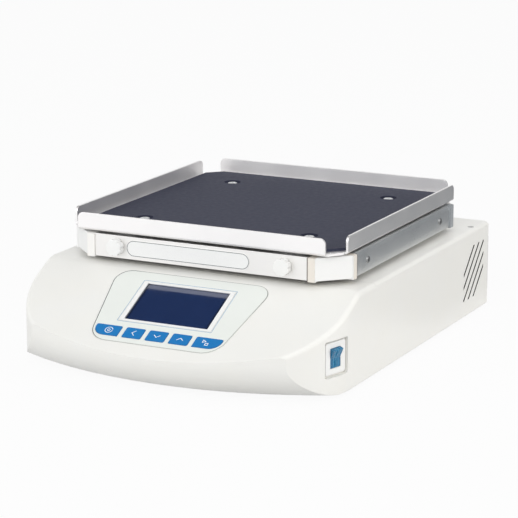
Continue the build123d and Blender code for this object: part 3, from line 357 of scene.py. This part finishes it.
def vent_shade_mask(s):
    """Mask of the painted shade in the vents: one on the walls of the side vents and on the housing's inside
    behind them, zero elsewhere, apart from a strip of the rounded rear edges at the vents' height, which it
    catches too."""
    across = s.math("ABSOLUTE", s.axis(0))
    inside = s.times(s.math("LESS_THAN", across, HALF_WIDTH - VENT_SKIN),
                     s.math("GREATER_THAN", across, HALF_WIDTH - VENT_DEPTH))
    near_y = s.times(s.math("GREATER_THAN", s.axis(1), REAR_Y - VENT_REAR - VENT_HALF),
                     s.math("LESS_THAN", s.axis(1), REAR_Y - REAR_SKIN))
    near_z = s.math("LESS_THAN", s.away_from(2, VENT_HEIGHT), VENT_HALF)
    return s.times(inside, s.times(near_y, near_z))


def moulded_plastic(name, color, roughness, change=0.012, edge=0.5 * MM, shade_vents=False):
    """Moulded plastic with a fine eroded texture and slight yellowing in patches; if asked, with painted
    shade in the side vents.
    """
    s = Surface(name, roughness=roughness, specular=0.45)
    patches = s.mottled(color, change, 9.0)
    warm = tuple(c * k for c, k in zip(color, YELLOWING))
    finish = s.blend(s.spread(s.noise(26.0, 4.0), 0.0, 0.35), patches, warm)
    if shade_vents:
        # Painted shade: black on the vent walls and on the housing's inside behind the vents.
        finish = s.blend(vent_shade_mask(s), finish, VENT_PAINTED_SHADE)
    s.paint(finish)
    s.gloss(s.spread(s.noise(60.0, 4.0), roughness - 0.05, roughness + 0.06))
    s.round_edges(edge)
    s.bump(s.noise(1400.0), 0.25, 0.02 * MM)
    s.done()


def corner_plastic():
    """White frame corners with cream end ribs; painted light makes the left ribs paler, and painted shade
    makes the rear ribs by the rails grey like the rails.
    """
    s = Surface("corner_plastic", roughness=0.4, specular=0.45)
    low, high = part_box("corner_front_right")
    beam_end, rail_end = low[0] - FRAME_CENTER_X, TRAY_CENTER_Y - high[1]
    across, along = s.away_from(0, FRAME_CENTER_X), s.away_from(1, TRAY_CENTER_Y)
    rail_ribs = s.math("LESS_THAN", along, rail_end + RIB_WIDTH)
    ribs = s.math("MAXIMUM", s.math("LESS_THAN", across, beam_end + RIB_WIDTH), rail_ribs)
    seams = s.math("MAXIMUM", s.math("LESS_THAN", across, beam_end + SEAM_WIDTH),
                   s.math("LESS_THAN", along, rail_end + SEAM_WIDTH))
    on_right = s.math("GREATER_THAN", s.axis(0), FRAME_CENTER_X)
    at_rear = s.math("GREATER_THAN", s.axis(1), TRAY_CENTER_Y)
    # Painted light: the left ribs are paler than the cream right ones.
    rib_cream_and_light = s.blend(on_right, RIB_PAINTED_LIGHT, s.mottled(RIB_CREAM, 0.02, 60.0))
    finish = s.blend(ribs, s.mottled(PART_WHITE, 0.012, 30.0), rib_cream_and_light)
    finish = s.blend(s.times(seams, on_right), finish, SEAM_SHADE)
    # Painted shade: the rear ribs by the rails are grey, as dark as the rails beside them.
    s.paint(s.blend(s.times(at_rear, rail_ribs), finish, s.mottled(RIB_REAR_PAINTED_SHADE, 0.03, 60.0)))
    s.gloss(s.spread(s.noise(90.0, 3.0), 0.34, 0.46))
    s.round_edges(0.6 * MM)
    s.bump(s.noise(1300.0), 0.2, 0.02 * MM)
    s.done()


def line_ink_and_shade():
    """The panel's printed outline: faint along most of it, dark round its left end with painted shade of the
    film's edge, darker again at the right end.
    """
    s = Surface("line_ink_and_shade", roughness=0.4, specular=0.4)
    # Painted shade: the line is darkened round its left end.
    faint_part = s.spread(s.axis(0), 0.0, 1.0, PANEL_X + OUTLINE_SHADE_TO, PANEL_X + OUTLINE_FAINT_FROM)
    right_part = s.spread(s.axis(0), 0.0, 0.7, PANEL_X + OUTLINE_RIGHT_FROM, PANEL_X + OUTLINE_RIGHT_TO)
    faintness = s.times(faint_part, s.math("SUBTRACT", 1.0, right_part))
    s.paint(s.blend(faintness, LINE_INK_AND_SHADE, s.mottled(LINE_FAINT, 0.05, 60.0)))
    s.gloss(s.spread(s.noise(400.0), 0.34, 0.46))
    s.done()


def film(name, color, roughness=0.34):
    """Printed polyester film with a fine lacquer texture."""
    s = Surface(name, roughness=roughness, specular=0.5)
    s.paint(s.mottled(color, 0.01, 40.0))
    s.gloss(s.spread(s.noise(2200.0, 1.0), roughness - 0.05, roughness + 0.06))
    s.bump(s.noise(2600.0, 1.0), 0.12, 0.01 * MM)
    s.done()


def glossy(name, color, roughness, edge=0.4 * MM):
    """Smooth gloss plastic or ink with faint handling marks."""
    s = Surface(name, roughness=roughness, specular=0.5)
    s.paint(s.mottled(color, 0.03, 25.0))
    s.gloss(s.spread(s.noise(140.0, 5.0), roughness - 0.03, roughness + 0.08, 0.35, 0.75))
    s.round_edges(edge)
    s.bump(s.noise(300.0), 0.05, 0.01 * MM)
    s.done()


def display_glass():
    """The dark display behind a glossy window, a little lighter inside its active area."""
    s = Surface("display_glass", roughness=0.06)
    s.shader.inputs["IOR"].default_value = 2.0
    low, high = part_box("display_module")
    border = s.math("GREATER_THAN", s.away_from(0, PANEL_X), (high[0] - low[0]) / 2 - DISPLAY_BORDER)
    s.paint(s.blend(border, s.mottled(DISPLAY_NAVY, 0.10, 45.0), shaded(DISPLAY_NAVY, 0.55)))
    s.gloss(s.spread(s.noise(55.0, 5.0), 0.05, 0.11, 0.45, 0.8))
    s.done()


def brushed(name, color, roughness, stretch):
    """Metal with fine streaks across the most stretched axis, light smudges and brighter worn edges."""
    s = Surface(name, roughness=roughness, metallic=1.0)
    streaks = s.noise(900.0, 3.0, stretch)
    base = s.blend(streaks, shaded(color, 0.96), shaded(color, 1.04, most=0.95))
    smudged = s.blend(s.spread(s.noise(22.0, 4.0), 0.0, 0.3), base, shaded(color, 0.93))
    s.paint(s.blend(s.edge_mask(0.8 * MM, 0.25), smudged, shaded(color, 1.14, most=0.97)))
    s.gloss(s.math("ADD", s.spread(streaks, roughness - 0.06, roughness + 0.06),
                   s.spread(s.noise(35.0, 3.0), -0.02, 0.04)))
    s.round_edges(0.4 * MM)
    s.bump(streaks, 0.105, 0.01 * MM)
    s.done()


def plain_metal(name, color, roughness, shade_from=None):
    """Turned or cast metal with a light grain and worn edges, and if asked with painted shade beyond a
    distance in x.
    """
    s = Surface(name, roughness=roughness, metallic=1.0)
    base = s.mottled(color, 0.05, 120.0, 4.0)
    finish = s.blend(s.edge_mask(0.6 * MM, 0.4), base, shaded(color, 1.2, most=0.97))
    if shade_from:
        # Painted shade: darker beyond the distance.
        outer = s.math("GREATER_THAN", s.math("ABSOLUTE", s.axis(0)), shade_from)
        finish = s.blend(outer, finish, shaded(color, 0.45))
    s.paint(finish)
    s.gloss(s.spread(s.noise(260.0, 3.0), roughness - 0.06, roughness + 0.08))
    s.round_edges(0.3 * MM)
    s.bump(s.noise(700.0), 0.12, 0.02 * MM)
    s.done()


def mat_rubber():
    """Dark slate rubber with a fine pebbled grain and a trace of dust."""
    s = Surface("mat_rubber", roughness=0.62, specular=0.12)
    grain = s.noise(1100.0, 3.0)
    base = s.mottled(MAT_SLATE, 0.03, 18.0, 4.0)
    dusted = s.blend(s.spread(grain, 0.0, 0.5, 0.45, 0.7), base, shaded(MAT_SLATE, 1.25))
    s.paint(s.blend(s.edge_mask(1.0 * MM, 0.3), dusted, shaded(MAT_SLATE, 1.5)))
    s.gloss(s.spread(s.noise(240.0, 3.0), 0.58, 0.66))
    s.bump(grain, 0.3, 0.06 * MM)
    s.done()


def rubber():
    """Plain black rubber of the feet and the belt."""
    s = Surface("rubber_black", roughness=0.7, specular=0.3)
    s.paint(s.mottled(RUBBER_BLACK, 0.15, 80.0))
    s.gloss(s.spread(s.noise(120.0, 3.0), 0.6, 0.78))
    s.bump(s.noise(900.0), 0.3, 0.04 * MM)
    s.done()


def painted_sheet():
    """Grey painted sheet with rubbed edges."""
    s = Surface("painted_sheet", roughness=0.5, specular=0.4)
    s.paint(s.blend(s.edge_mask(0.8 * MM, 0.4), s.mottled(SHEET_GREY, 0.03, 40.0), SHEET_WORN))
    s.gloss(s.spread(s.noise(300.0, 3.0), 0.44, 0.58))
    s.round_edges(0.4 * MM)
    s.bump(s.noise(800.0), 0.2, 0.03 * MM)
    s.done()


def circuit_board():
    """Lacquered board: green ground with paler traces."""
    s = Surface("circuit_board", roughness=0.4, specular=0.5)
    traces = s.node("ShaderNodeTexBrick")
    traces.inputs["Scale"].default_value = 90.0
    traces.inputs["Mortar Size"].default_value = 0.06
    traces.inputs["Color1"].default_value = (*BOARD_GREEN, 1.0)
    traces.inputs["Color2"].default_value = (*shaded(BOARD_GREEN, 0.8), 1.0)
    traces.inputs["Mortar"].default_value = (*TRACE_GREEN, 1.0)
    s.link(s.place, traces.inputs["Vector"])
    s.paint(traces.outputs["Color"])
    s.gloss(s.spread(s.noise(200.0), 0.32, 0.48))
    s.bump(traces.outputs["Fac"], 0.2, 0.05 * MM)
    s.done()


def rocker_plastic():
    """Tinted blue plastic, part see-through, with lighter ribs."""
    s = Surface("rocker_plastic", roughness=0.25, specular=0.45)
    s.shader.inputs["Subsurface Weight"].default_value = 0.15
    s.shader.inputs["Subsurface Radius"].default_value = (1 * MM, 2 * MM, 4 * MM)
    low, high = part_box("rocker")
    along_x, along_y = (s.math("SUBTRACT", s.axis(i), (low[i] + high[i]) / 2) for i in (0, 1))
    across = s.math("ADD", s.times(along_x, math.sin(SWITCH_ANGLE)), s.times(along_y, math.cos(SWITCH_ANGLE)))
    wave = s.math("SINE", s.times(across, 2 * math.pi / ROCKER_RIB_PITCH))
    ribs = s.times(s.math("GREATER_THAN", wave, 0.35),
                   s.math("LESS_THAN", s.math("ABSOLUTE", across), ROCKER_RIB_REACH))
    base = s.blend(s.times(ribs, 0.55), s.mottled(ROCKER_BLUE, 0.12, 300.0), ROCKER_LIGHT)
    s.paint(s.blend(s.edge_mask(0.9 * MM, 0.8), base, ROCKER_LIGHT))
    s.gloss(s.spread(s.noise(240.0, 3.0), 0.2, 0.32))
    s.round_edges(0.3 * MM)
    s.bump(s.noise(500.0), 0.06, 0.02 * MM)
    s.done()


def make_materials():
    moulded_plastic("housing_plastic", HOUSING_WHITE, 0.36, shade_vents=True)
    moulded_plastic("part_plastic", PART_WHITE, 0.36, edge=0.6 * MM)
    moulded_plastic("black_plastic", BLACK_PLASTIC, 0.48, change=0.1)
    corner_plastic()
    film("overlay_film", FILM_GREY)
    film("label_film", LABEL_WHITE, 0.3)
    glossy("key_plastic", KEY_BLUE, 0.34)
    for name, color in (("ink_white", INK_WHITE), ("ink_grey", INK_GREY), ("ink_blue", INK_BLUE)):
        glossy(name, color, 0.4, edge=0.05 * MM)
    line_ink_and_shade()
    display_glass()
    brushed("tray_steel", STEEL, 0.44, (1.0, 1.0, 14.0))
    brushed("rail_aluminium", RAIL_METAL, 0.32, (1.0, 1.0, 12.0))
    brushed("beam_aluminium", BEAM_METAL, 0.36, (1.0, 1.0, 12.0))
    plain_metal("shaft_steel", SHAFT_STEEL, 0.22)
    plain_metal("screw_steel", SHAFT_STEEL, 0.3, shade_from=SCREW_SHADE_FROM)
    plain_metal("cast_aluminium", CAST_ALUMINIUM, 0.4)
    mat_rubber()
    rubber()
    painted_sheet()
    circuit_board()
    rocker_plastic()


NODE_MATERIAL = {
    "housing_plastic": ["front_housing", "top_cover"],
    "part_plastic": ["switch_frame", "display_bezel", "left_knob", "right_knob"],
    "corner_plastic": ["corner_front_left", "corner_front_right", "corner_rear_left", "corner_rear_right"],
    "black_plastic": ["power_inlet", "motor"],
    "overlay_film": ["control_overlay"],
    "label_film": ["label_plate"],
    "display_glass": ["display_module"],
    "key_plastic": [f"key_{i}" for i in range(1, 6)],
    "rocker_plastic": ["rocker"],
    "tray_steel": ["tray"],
    "rail_aluminium": ["left_rail", "right_rail"],
    "beam_aluminium": ["front_beam", "rear_beam"],
    "mat_rubber": ["tray_mat"],
    "rubber_black": ["rubber_feet", "drive_belt"],
    "painted_sheet": ["base_plate", "rear_panel", "motor_plate"],
    "circuit_board": ["display_board", "control_board"],
    "screw_steel": ["housing_screws", "carriage_screws", "board_standoffs"],
    "shaft_steel": ["carriage_posts", "linear_bushings", "wrist_pin", "front_guide_rod", "rear_guide_rod",
                    "spindle_bearings", "crank_spindle", "crank_disc", "crank_pin_bearing", "crank_pin",
                    "motor_shaft"],
}


def dress_nodes():
    """Give every CAD node its material; what isn't named is machined aluminium."""
    chosen = {node: name for name, nodes in NODE_MATERIAL.items() for node in nodes}
    for node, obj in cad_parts.items():
        material = materials[chosen.get(node, "cast_aluminium")]
        if not obj.material_slots:
            obj.data.materials.append(material)
        for slot in obj.material_slots:
            slot.material = material


def mesh_object(name, mesh, material):
    """An object of the mesh in the making, with its faces turned outwards."""
    bmesh.ops.recalc_face_normals(mesh, faces=mesh.faces)
    data = bpy.data.meshes.new(name)
    mesh.to_mesh(data)
    mesh.free()
    data.materials.append(materials[material])
    piece = bpy.data.objects.new(name, data)
    bpy.context.scene.collection.objects.link(piece)
    return piece


def skin(mesh, rings, closed=False):
    """Faces from each ring to the next: back to the first ring if closed, else with a cap at either end."""
    following = rings[1:] + rings[:1] if closed else rings[1:]
    for first, second in zip(rings, following):
        for k in range(len(first)):
            after = (k + 1) % len(first)
            mesh.faces.new((first[k], first[after], second[after], second[k]))
    if not closed:
        mesh.faces.new(rings[0][::-1])
        mesh.faces.new(rings[-1])


def turned(mesh, place, profile, sides):
    """A form round an axis. A profile row is a reach, as a length or by angle, and a height on the axis."""
    rings = []
    for reach, height in profile:
        ring = []
        for k in range(sides):
            angle = 2 * math.pi * k / sides
            away = reach(angle) if callable(reach) else reach
            ring.append(mesh.verts.new(place(away * math.cos(angle), away * math.sin(angle), height)))
        rings.append(ring)
    skin(mesh, rings)


def arc(center, radius, start, end, steps=10):
    """Points on an arc, angles in degrees."""
    return [
        (center[0] + radius * math.cos(math.radians(start + (end - start) * i / steps)),
         center[1] + radius * math.sin(math.radians(start + (end - start) * i / steps)))
        for i in range(steps + 1)
    ]


def rounded_outline(corner_points, radii, steps=8):
    """A closed outline of straight runs with rounded corners."""
    points = []
    count = len(corner_points)
    for i, (corner, radius) in enumerate(zip(corner_points, radii)):
        here = Vector(corner)
        to_before = (Vector(corner_points[i - 1]) - here).normalized()
        to_after = (Vector(corner_points[(i + 1) % count]) - here).normalized()
        half = to_before.angle(to_after) / 2
        center = here + (to_before + to_after).normalized() * (radius / math.sin(half))
        start = here + to_before * (radius / math.tan(half)) - center
        turn = math.pi - 2 * half
        if to_before.x * to_after.y - to_before.y * to_after.x > 0:
            turn = -turn
        for k in range(steps + 1):
            angle = turn * k / steps
            spot = center + Matrix.Rotation(angle, 2) @ start
            points.append((spot.x, spot.y))
    return points


def stroke(mesh, place, points, width, low, high, closed):
    """A flat line with mitred corners, as a closed strip between two heights."""
    count = len(points)
    flat = [Vector(p) for p in points]
    rings = []
    for i, point in enumerate(flat):
        before = flat[i - 1] if closed or i > 0 else None
        after = flat[(i + 1) % count] if closed or i < count - 1 else None
        into = (point - before).normalized() if before is not None else (after - point).normalized()
        out = (after - point).normalized() if after is not None else into
        side_in = Vector((-into.y, into.x))
        side_out = Vector((-out.y, out.x))
        side = (side_in + side_out).normalized()
        reach = width / 2 / max(MITRE_LEAST, side.dot(side_out))
        ring = []
        for sign, height in ((1, high), (-1, high), (-1, low), (1, low)):
            spot = point + side * (sign * reach)
            ring.append(mesh.verts.new(place(spot.x, spot.y, height)))
        rings.append(ring)
    skin(mesh, rings, closed)


def line_piece(name, body, material, place, lines, width, face):
    """One object of thin printed lines on a face. Each line is (points, closed)."""
    mesh = bmesh.new()
    for points, closed in lines:
        stroke(mesh, place, points, width, face - INK_REACH, face + INK_REACH, closed)
    piece = mesh_object(name, mesh, material)
    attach(piece, body)


def on_slope(x, s, h):
    """A point of the control panel: x across, s down the slope from the knee line, h above it."""
    return Vector((
        PANEL_X + x,
        KNEE_Y - s * math.cos(SLOPE_ANGLE) - h * math.sin(SLOPE_ANGLE),
        TOP_Z - s * math.sin(SLOPE_ANGLE) + h * math.cos(SLOPE_ANGLE),
    ))


def on_beam(x, z, h):
    """A point of the front beam: x across, z up, h in front of it."""
    return Vector((x, pill_low[1] - h, z))


def key_symbols():
    """White signs on the keys: target, left, down, up, and run with stop."""
    a, r = ARROW, SYMBOL
    target = [(arc((0, 0), 1.45 * r, 0, TARGET_SWEEP, 28), False),
              (arc((0, 0), 0.5 * r, 0, TARGET_SWEEP, 16), False)]
    arrow_left = [([(0.5 * a, -a), (-0.5 * a, 0), (0.5 * a, a)], False)]
    arrow_down = [([(-a, -0.4 * a), (0, 0.5 * a), (a, -0.4 * a)], False)]
    arrow_up = [([(-a, 0.4 * a), (0, -0.5 * a), (a, 0.4 * a)], False)]
    run = ([(-1.3 * r, -1.3 * r), (-0.1 * r, -0.65 * r), (-1.3 * r, 0)], True)
    stop = ([(0.05 * r, 0.15 * r), (1.15 * r, 0.15 * r),
             (1.15 * r, 1.25 * r), (0.05 * r, 1.25 * r)], True)
    signs = [target, arrow_left, arrow_down, arrow_up, [run, stop]]
    outer = 2 * KEY_PITCH + OUTER_KEY_SHIFT
    centers = (-outer, -KEY_PITCH, 0, KEY_PITCH, outer)
    for index, (center, sign) in enumerate(zip(centers, signs), start=1):
        lines = [([(center + u, KEY_CENTER + v) for u, v in points], closed) for points, closed in sign]
        line_piece(f"key_sign_{index}", f"key_{index}_unit", "ink_white", on_slope, lines, SYMBOL_LINE,
                   KEY_FACE)


def panel_lines():
    """The thin printed line along the film's edge and the one round the display."""
    top, bottom = PANEL_TOP + OUTLINE_INSET, PANEL_BOTTOM - OUTLINE_INSET
    wide, narrow = PANEL_HALF_TOP - OUTLINE_INSET, PANEL_HALF_BOTTOM - OUTLINE_INSET
    radii = [PANEL_TOP_ROUND - OUTLINE_INSET] * 2 + [PANEL_BOTTOM_ROUND - OUTLINE_INSET] * 2
    outline = rounded_outline([(-wide, top), (wide, top), (narrow, bottom), (-narrow, bottom)], radii)
    line_piece("panel_outline", "base", "line_ink_and_shade", on_slope, [(outline, True)], OUTLINE_WIDTH,
               FILM_FACE)
    wide, high = BEZEL_WIDTH / 2 + WINDOW_GAP, BEZEL_HEIGHT / 2 + WINDOW_GAP
    top, bottom = DISPLAY_CENTER - high, DISPLAY_CENTER + high
    window = rounded_outline([(-wide, top), (wide, top), (wide, bottom), (-wide, bottom)],
                             [WINDOW_ROUND] * 4, steps=4)
    line_piece("window_outline", "base", "ink_blue", on_slope, [(window, True)], WINDOW_LINE,
               FILM_FACE)


def label_outline():
    """The thin line round the blank plate on the front beam."""
    radius = (pill_high[2] - pill_low[2]) / 2 - LABEL_INSET
    middle = (pill_high[2] + pill_low[2]) / 2
    left = pill_low[0] + radius + LABEL_INSET
    right = pill_high[0] - radius - LABEL_INSET
    outline = arc((right, middle), radius, -90, 90, 16) + arc((left, middle), radius, 90, 270, 16)
    line_piece("label_outline", "carriage", "ink_grey", on_beam, [(outline, True)], LABEL_LINE,
               0.0)


def hexagon_reach(angle, flat_radius):
    """Distance from a hexagon's middle to its outline at an angle."""
    sixth = math.pi / 3
    return flat_radius / math.cos((angle % sixth) - sixth / 2)


def socket_screw(mesh, matrix, head_radius, head_height, socket_radius):
    """A button screw with a hexagon socket: its head stands on the local plane, its shank goes below."""
    profile = [
        (SHANK_RADIUS, -SHANK_LENGTH),
        (SHANK_RADIUS, 0.0),
        (head_radius, 0.0),
        (head_radius, head_height * 0.45),
        (head_radius * 0.94, head_height * 0.75),
        (head_radius * 0.80, head_height * 0.94),
        (head_radius * 0.64, head_height),
        (lambda angle: hexagon_reach(angle, socket_radius), head_height),
        (lambda angle: hexagon_reach(angle, socket_radius * 0.96), head_height * 0.3),
    ]
    turned(mesh, lambda u, v, h: matrix @ Vector((u, v, h)), profile, SCREW_SIDES)


def carriage_screw_set():
    """The tray, rail and rear beam screws with their sockets."""
    mesh = bmesh.new()
    middle_z = (beam_low[2] + beam_high[2]) / 2
    backwards = Matrix.Rotation(-math.pi / 2, 4, "X")
    for sx in (-1, 1):
        rail_face = LEFT_RAIL_FACE if sx < 0 else RIGHT_RAIL_FACE
        outwards = Matrix.Rotation(sx * math.pi / 2, 4, "Y")
        for sy in (-1, 1):
            spot = (TRAY_CENTER_X + sx * TRAY_SCREW_X, TRAY_CENTER_Y + sy * TRAY_SCREW_Y,
                    tray_low[2] + TRAY_SHEET)
            socket_screw(mesh, Matrix.Translation(spot), *TRAY_HEAD)
            spot = (rail_face, TRAY_CENTER_Y + sy * RAIL_SCREW_Y, middle_z)
            socket_screw(mesh, Matrix.Translation(spot) @ outwards, *SIDE_HEAD)
        spot = (TRAY_CENTER_X + sx * BEAM_SCREW_X, REAR_BEAM_FACE, middle_z)
        socket_screw(mesh, Matrix.Translation(spot) @ backwards, *SIDE_HEAD)
    piece = mesh_object("carriage_screw_set", mesh, "screw_steel")
    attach(piece, "carriage")
    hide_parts("carriage_screws")


def flat_ring(mesh, middle, inner, outer, low, high):
    """A closed flat ring round an upright axis."""
    rings = []
    for radius, z in ((inner, low), (outer, low), (outer, high), (inner, high)):
        points = arc(middle, radius, 0, 360, MAT_HOLE_SIDES)[:-1]
        rings.append([mesh.verts.new((u, v, z)) for u, v in points])
    skin(mesh, rings, closed=True)


def tray_mat_sheet():
    """The mat: a sheet with cut corners and a round hole over each tray screw, and in each hole a thin dark
    ring of mat on the tray floor as painted shade.
    """
    mesh = bmesh.new()
    center_x = TRAY_CENTER_X + MAT_SHIFT
    x, y, cut = MAT_HALF_WIDTH, MAT_HALF_DEPTH, MAT_CUT
    corners = [(x, -y + cut), (x, y - cut), (x - cut, y), (-x + cut, y),
               (-x, y - cut), (-x, -y + cut), (-x + cut, -y), (x - cut, -y)]
    holes = [(TRAY_CENTER_X + sx * TRAY_SCREW_X, TRAY_CENTER_Y + sy * TRAY_SCREW_Y)
             for sx in (-1, 1) for sy in (-1, 1)]
    loops = [[(center_x + u, TRAY_CENTER_Y + v) for u, v in corners]]
    loops += [arc(hole, MAT_HOLE_RADIUS, 0, 360, MAT_HOLE_SIDES)[:-1] for hole in holes]
    floor_z = mat_low[2]
    for loop in loops:
        ring = [mesh.verts.new((u, v, floor_z)) for u, v in loop]
        for first, second in zip(ring, ring[1:] + ring[:1]):
            mesh.edges.new((first, second))
    bmesh.ops.triangle_fill(mesh, use_beauty=True, edges=mesh.edges[:])
    raised = bmesh.ops.extrude_face_region(mesh, geom=mesh.faces[:], use_keep_orig=True)
    for item in raised["geom"]:
        if isinstance(item, bmesh.types.BMVert):
            item.co.z = mat_high[2]
    # Painted shade: a thin dark ring on the tray floor round each screw head, in each hole.
    for hole in holes:
        flat_ring(mesh, hole, HOLE_SHADE_RING_INNER, HOLE_SHADE_RING_OUTER, floor_z, floor_z + HOLE_SHADE_RING_HEIGHT)
    piece = mesh_object("mat_sheet", mesh, "mat_rubber")
    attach(piece, "carriage")
    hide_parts("tray_mat")


def lobed_reach(angle):
    """Distance from the knob's axis to its grooved rim at an angle."""
    pitch = 2 * math.pi / KNOB_LOBES
    offset = (angle + pitch / 2) % pitch - pitch / 2
    groove = KNOB_RADIUS + KNOB_NOTCH / 3
    inside = KNOB_NOTCH ** 2 - (groove * math.sin(offset)) ** 2
    if inside <= 0:
        return KNOB_RADIUS
    return min(KNOB_RADIUS, groove * math.cos(offset) - math.sqrt(inside))


def thumb_knob(name, node, body):
    """A grooved knob with a rounded rim and a slightly domed face, on its stud."""
    low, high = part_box(node)
    center_x, center_z = (low[0] + high[0]) / 2, (low[2] + high[2]) / 2
    back = low[1] + KNOB_CAD_LENGTH
    front = back - KNOB_LENGTH
    profile = [
        (KNOB_STUD, high[1]),
        (KNOB_STUD, back),
        (lambda angle: lobed_reach(angle) - KNOB_BACK_EDGE, back),
        (lobed_reach, back - KNOB_BACK_EDGE),
        (lobed_reach, front + KNOB_ROUND),
        (lambda angle: lobed_reach(angle) - KNOB_ROUND * 0.3, front + KNOB_ROUND * 0.3),
        (lambda angle: lobed_reach(angle) - KNOB_ROUND, front),
        (KNOB_RADIUS * 0.5, front - KNOB_CROWN),
    ]
    mesh = bmesh.new()
    turned(mesh, lambda u, v, y: Vector((center_x + u, y, center_z + v)), profile, KNOB_LOBES * KNOB_STEPS)
    piece = mesh_object(name, mesh, "part_plastic")
    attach(piece, body)
    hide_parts(node)


def aimed(direction):
    """The turn that points a camera or a light along a direction."""
    return Vector(direction).to_track_quat("-Z", "Y").to_euler()


def make_camera():
    data = bpy.data.cameras.new("camera")
    camera = bpy.data.objects.new("camera", data)
    bpy.context.scene.collection.objects.link(camera)
    camera.location = CAMERA_PLACE
    camera.rotation_euler = aimed(CAMERA_AIM)
    data.lens = CAMERA_LENS
    data.sensor_width = CAMERA_SENSOR
    data.clip_start = CAMERA_NEAR
    data.clip_end = CAMERA_FAR
    bpy.context.scene.camera = camera


def make_lights():
    """Wide soft lights, all aimed at the machine's middle."""
    for name, place, size, power, color in LIGHTS:
        data = bpy.data.lights.new(name, "AREA")
        data.shape = "RECTANGLE"
        data.size, data.size_y = size
        data.energy = power
        data.color = color
        light = bpy.data.objects.new(name, data)
        bpy.context.scene.collection.objects.link(light)
        light.location = place
        light.rotation_euler = aimed(Vector(LIGHT_AIM) - Vector(place))


def plane_object(name, corner_points, material):
    data = bpy.data.meshes.new(name)
    data.from_pydata(corner_points, [], [tuple(range(len(corner_points)))])
    data.materials.append(material)
    piece = bpy.data.objects.new(name, data)
    bpy.context.scene.collection.objects.link(piece)
    return piece


def level_corners(left, front, right, rear, z):
    return [(left, front, z), (right, front, z), (right, rear, z), (left, rear, z)]


def node_material(name):
    """A new material with its nodes and links."""
    material = bpy.data.materials.new(name)
    material.use_nodes = True
    return material, material.node_tree.nodes, material.node_tree.links


def glowing(nodes, kind, color, strength):
    """An emission or background node."""
    made = nodes.new(kind)
    made.inputs["Color"].default_value = (*color, 1.0)
    made.inputs["Strength"].default_value = strength
    return made.outputs[0]


def seen_directly(nodes, links):
    """One for rays of the camera and for glossy ones, zero for the rest."""
    path = nodes.new("ShaderNodeLightPath")
    seen = nodes.new("ShaderNodeMath")
    seen.operation = "MAXIMUM"
    links.new(path.outputs["Is Camera Ray"], seen.inputs[0])
    links.new(path.outputs["Is Glossy Ray"], seen.inputs[1])
    return seen.outputs["Value"]


def mixed(nodes, links, fac, first, second):
    mix = nodes.new("ShaderNodeMixShader")
    links.new(fac, mix.inputs["Fac"])
    links.new(first, mix.inputs[1])
    links.new(second, mix.inputs[2])
    return mix.outputs["Shader"]


def make_world():
    """A soft surround that the camera and glossy rays see as white."""
    world = bpy.data.worlds.new("studio")
    bpy.context.scene.world = world
    world.use_nodes = True
    nodes, links = world.node_tree.nodes, world.node_tree.links
    ground = nodes["Background"]
    ground.inputs["Color"].default_value = (*WORLD_TINT, 1.0)
    ground.inputs["Strength"].default_value = WORLD_STRENGTH
    white = glowing(nodes, "ShaderNodeBackground", WHITE, 1.0)
    mix = mixed(nodes, links, seen_directly(nodes, links), ground.outputs["Background"], white)
    links.new(mix, nodes["World Output"].inputs["Surface"])


def make_floor():
    """A pale floor that the camera and glossy rays see as nearly white, with a faint shadow."""
    material, nodes, links = node_material("floor_white")
    shader = nodes["Principled BSDF"]
    shader.inputs["Base Color"].default_value = (*FLOOR_GREY, 1.0)
    shader.inputs["Roughness"].default_value = FLOOR_ROUGHNESS
    glow = glowing(nodes, "ShaderNodeEmission", WHITE, 1.0)
    part = nodes.new("ShaderNodeMath")
    part.operation = "MULTIPLY"
    part.inputs[1].default_value = FLOOR_GLOW_SHARE
    links.new(seen_directly(nodes, links), part.inputs[0])
    mix = mixed(nodes, links, part.outputs["Value"], shader.outputs["BSDF"], glow)
    links.new(mix, nodes["Material Output"].inputs["Surface"])
    plane_object("floor", level_corners(-FLOOR_SIZE, -FLOOR_SIZE, FLOOR_SIZE, FLOOR_SIZE, 0), material)


def make_screens():
    """Dim screens behind on the right and a black one overhead, seen only in reflections,
    so that the metal has dark sides."""
    dim, nodes, links = node_material("screen_dark")
    links.new(glowing(nodes, "ShaderNodeEmission", SCREEN_TINT, SCREEN_STRENGTH),
              nodes["Material Output"].inputs["Surface"])
    near, far = SCREEN_TALL_FOOT
    tall_corners = [(*near, 0.0), (*far, 0.0), (*far, SCREEN_TALL_HEIGHT), (*near, SCREEN_TALL_HEIGHT)]
    low = plane_object("screen_low", level_corners(*SCREEN_LOW), dim)
    tall = plane_object("screen_tall", tall_corners, dim)
    black, nodes, links = node_material("screen_black")
    nodes["Principled BSDF"].inputs["Base Color"].default_value = (*SCREEN_BLACK, 1.0)
    high = plane_object("screen_high", level_corners(*SCREEN_HIGH), black)
    for screen in (low, tall, high):
        screen.visible_camera = False
        screen.visible_diffuse = False
        screen.visible_shadow = False
        screen.visible_transmission = False


make_camera()
make_materials()
dress_nodes()
key_symbols()
panel_lines()
label_outline()
carriage_screw_set()
tray_mat_sheet()
thumb_knob("left_knob_piece", "left_knob", "left_thumb_knob")
thumb_knob("right_knob_piece", "right_knob", "right_thumb_knob")
make_world()
make_lights()
make_floor()
make_screens()
bpy.context.scene.view_settings.view_transform = "Standard"
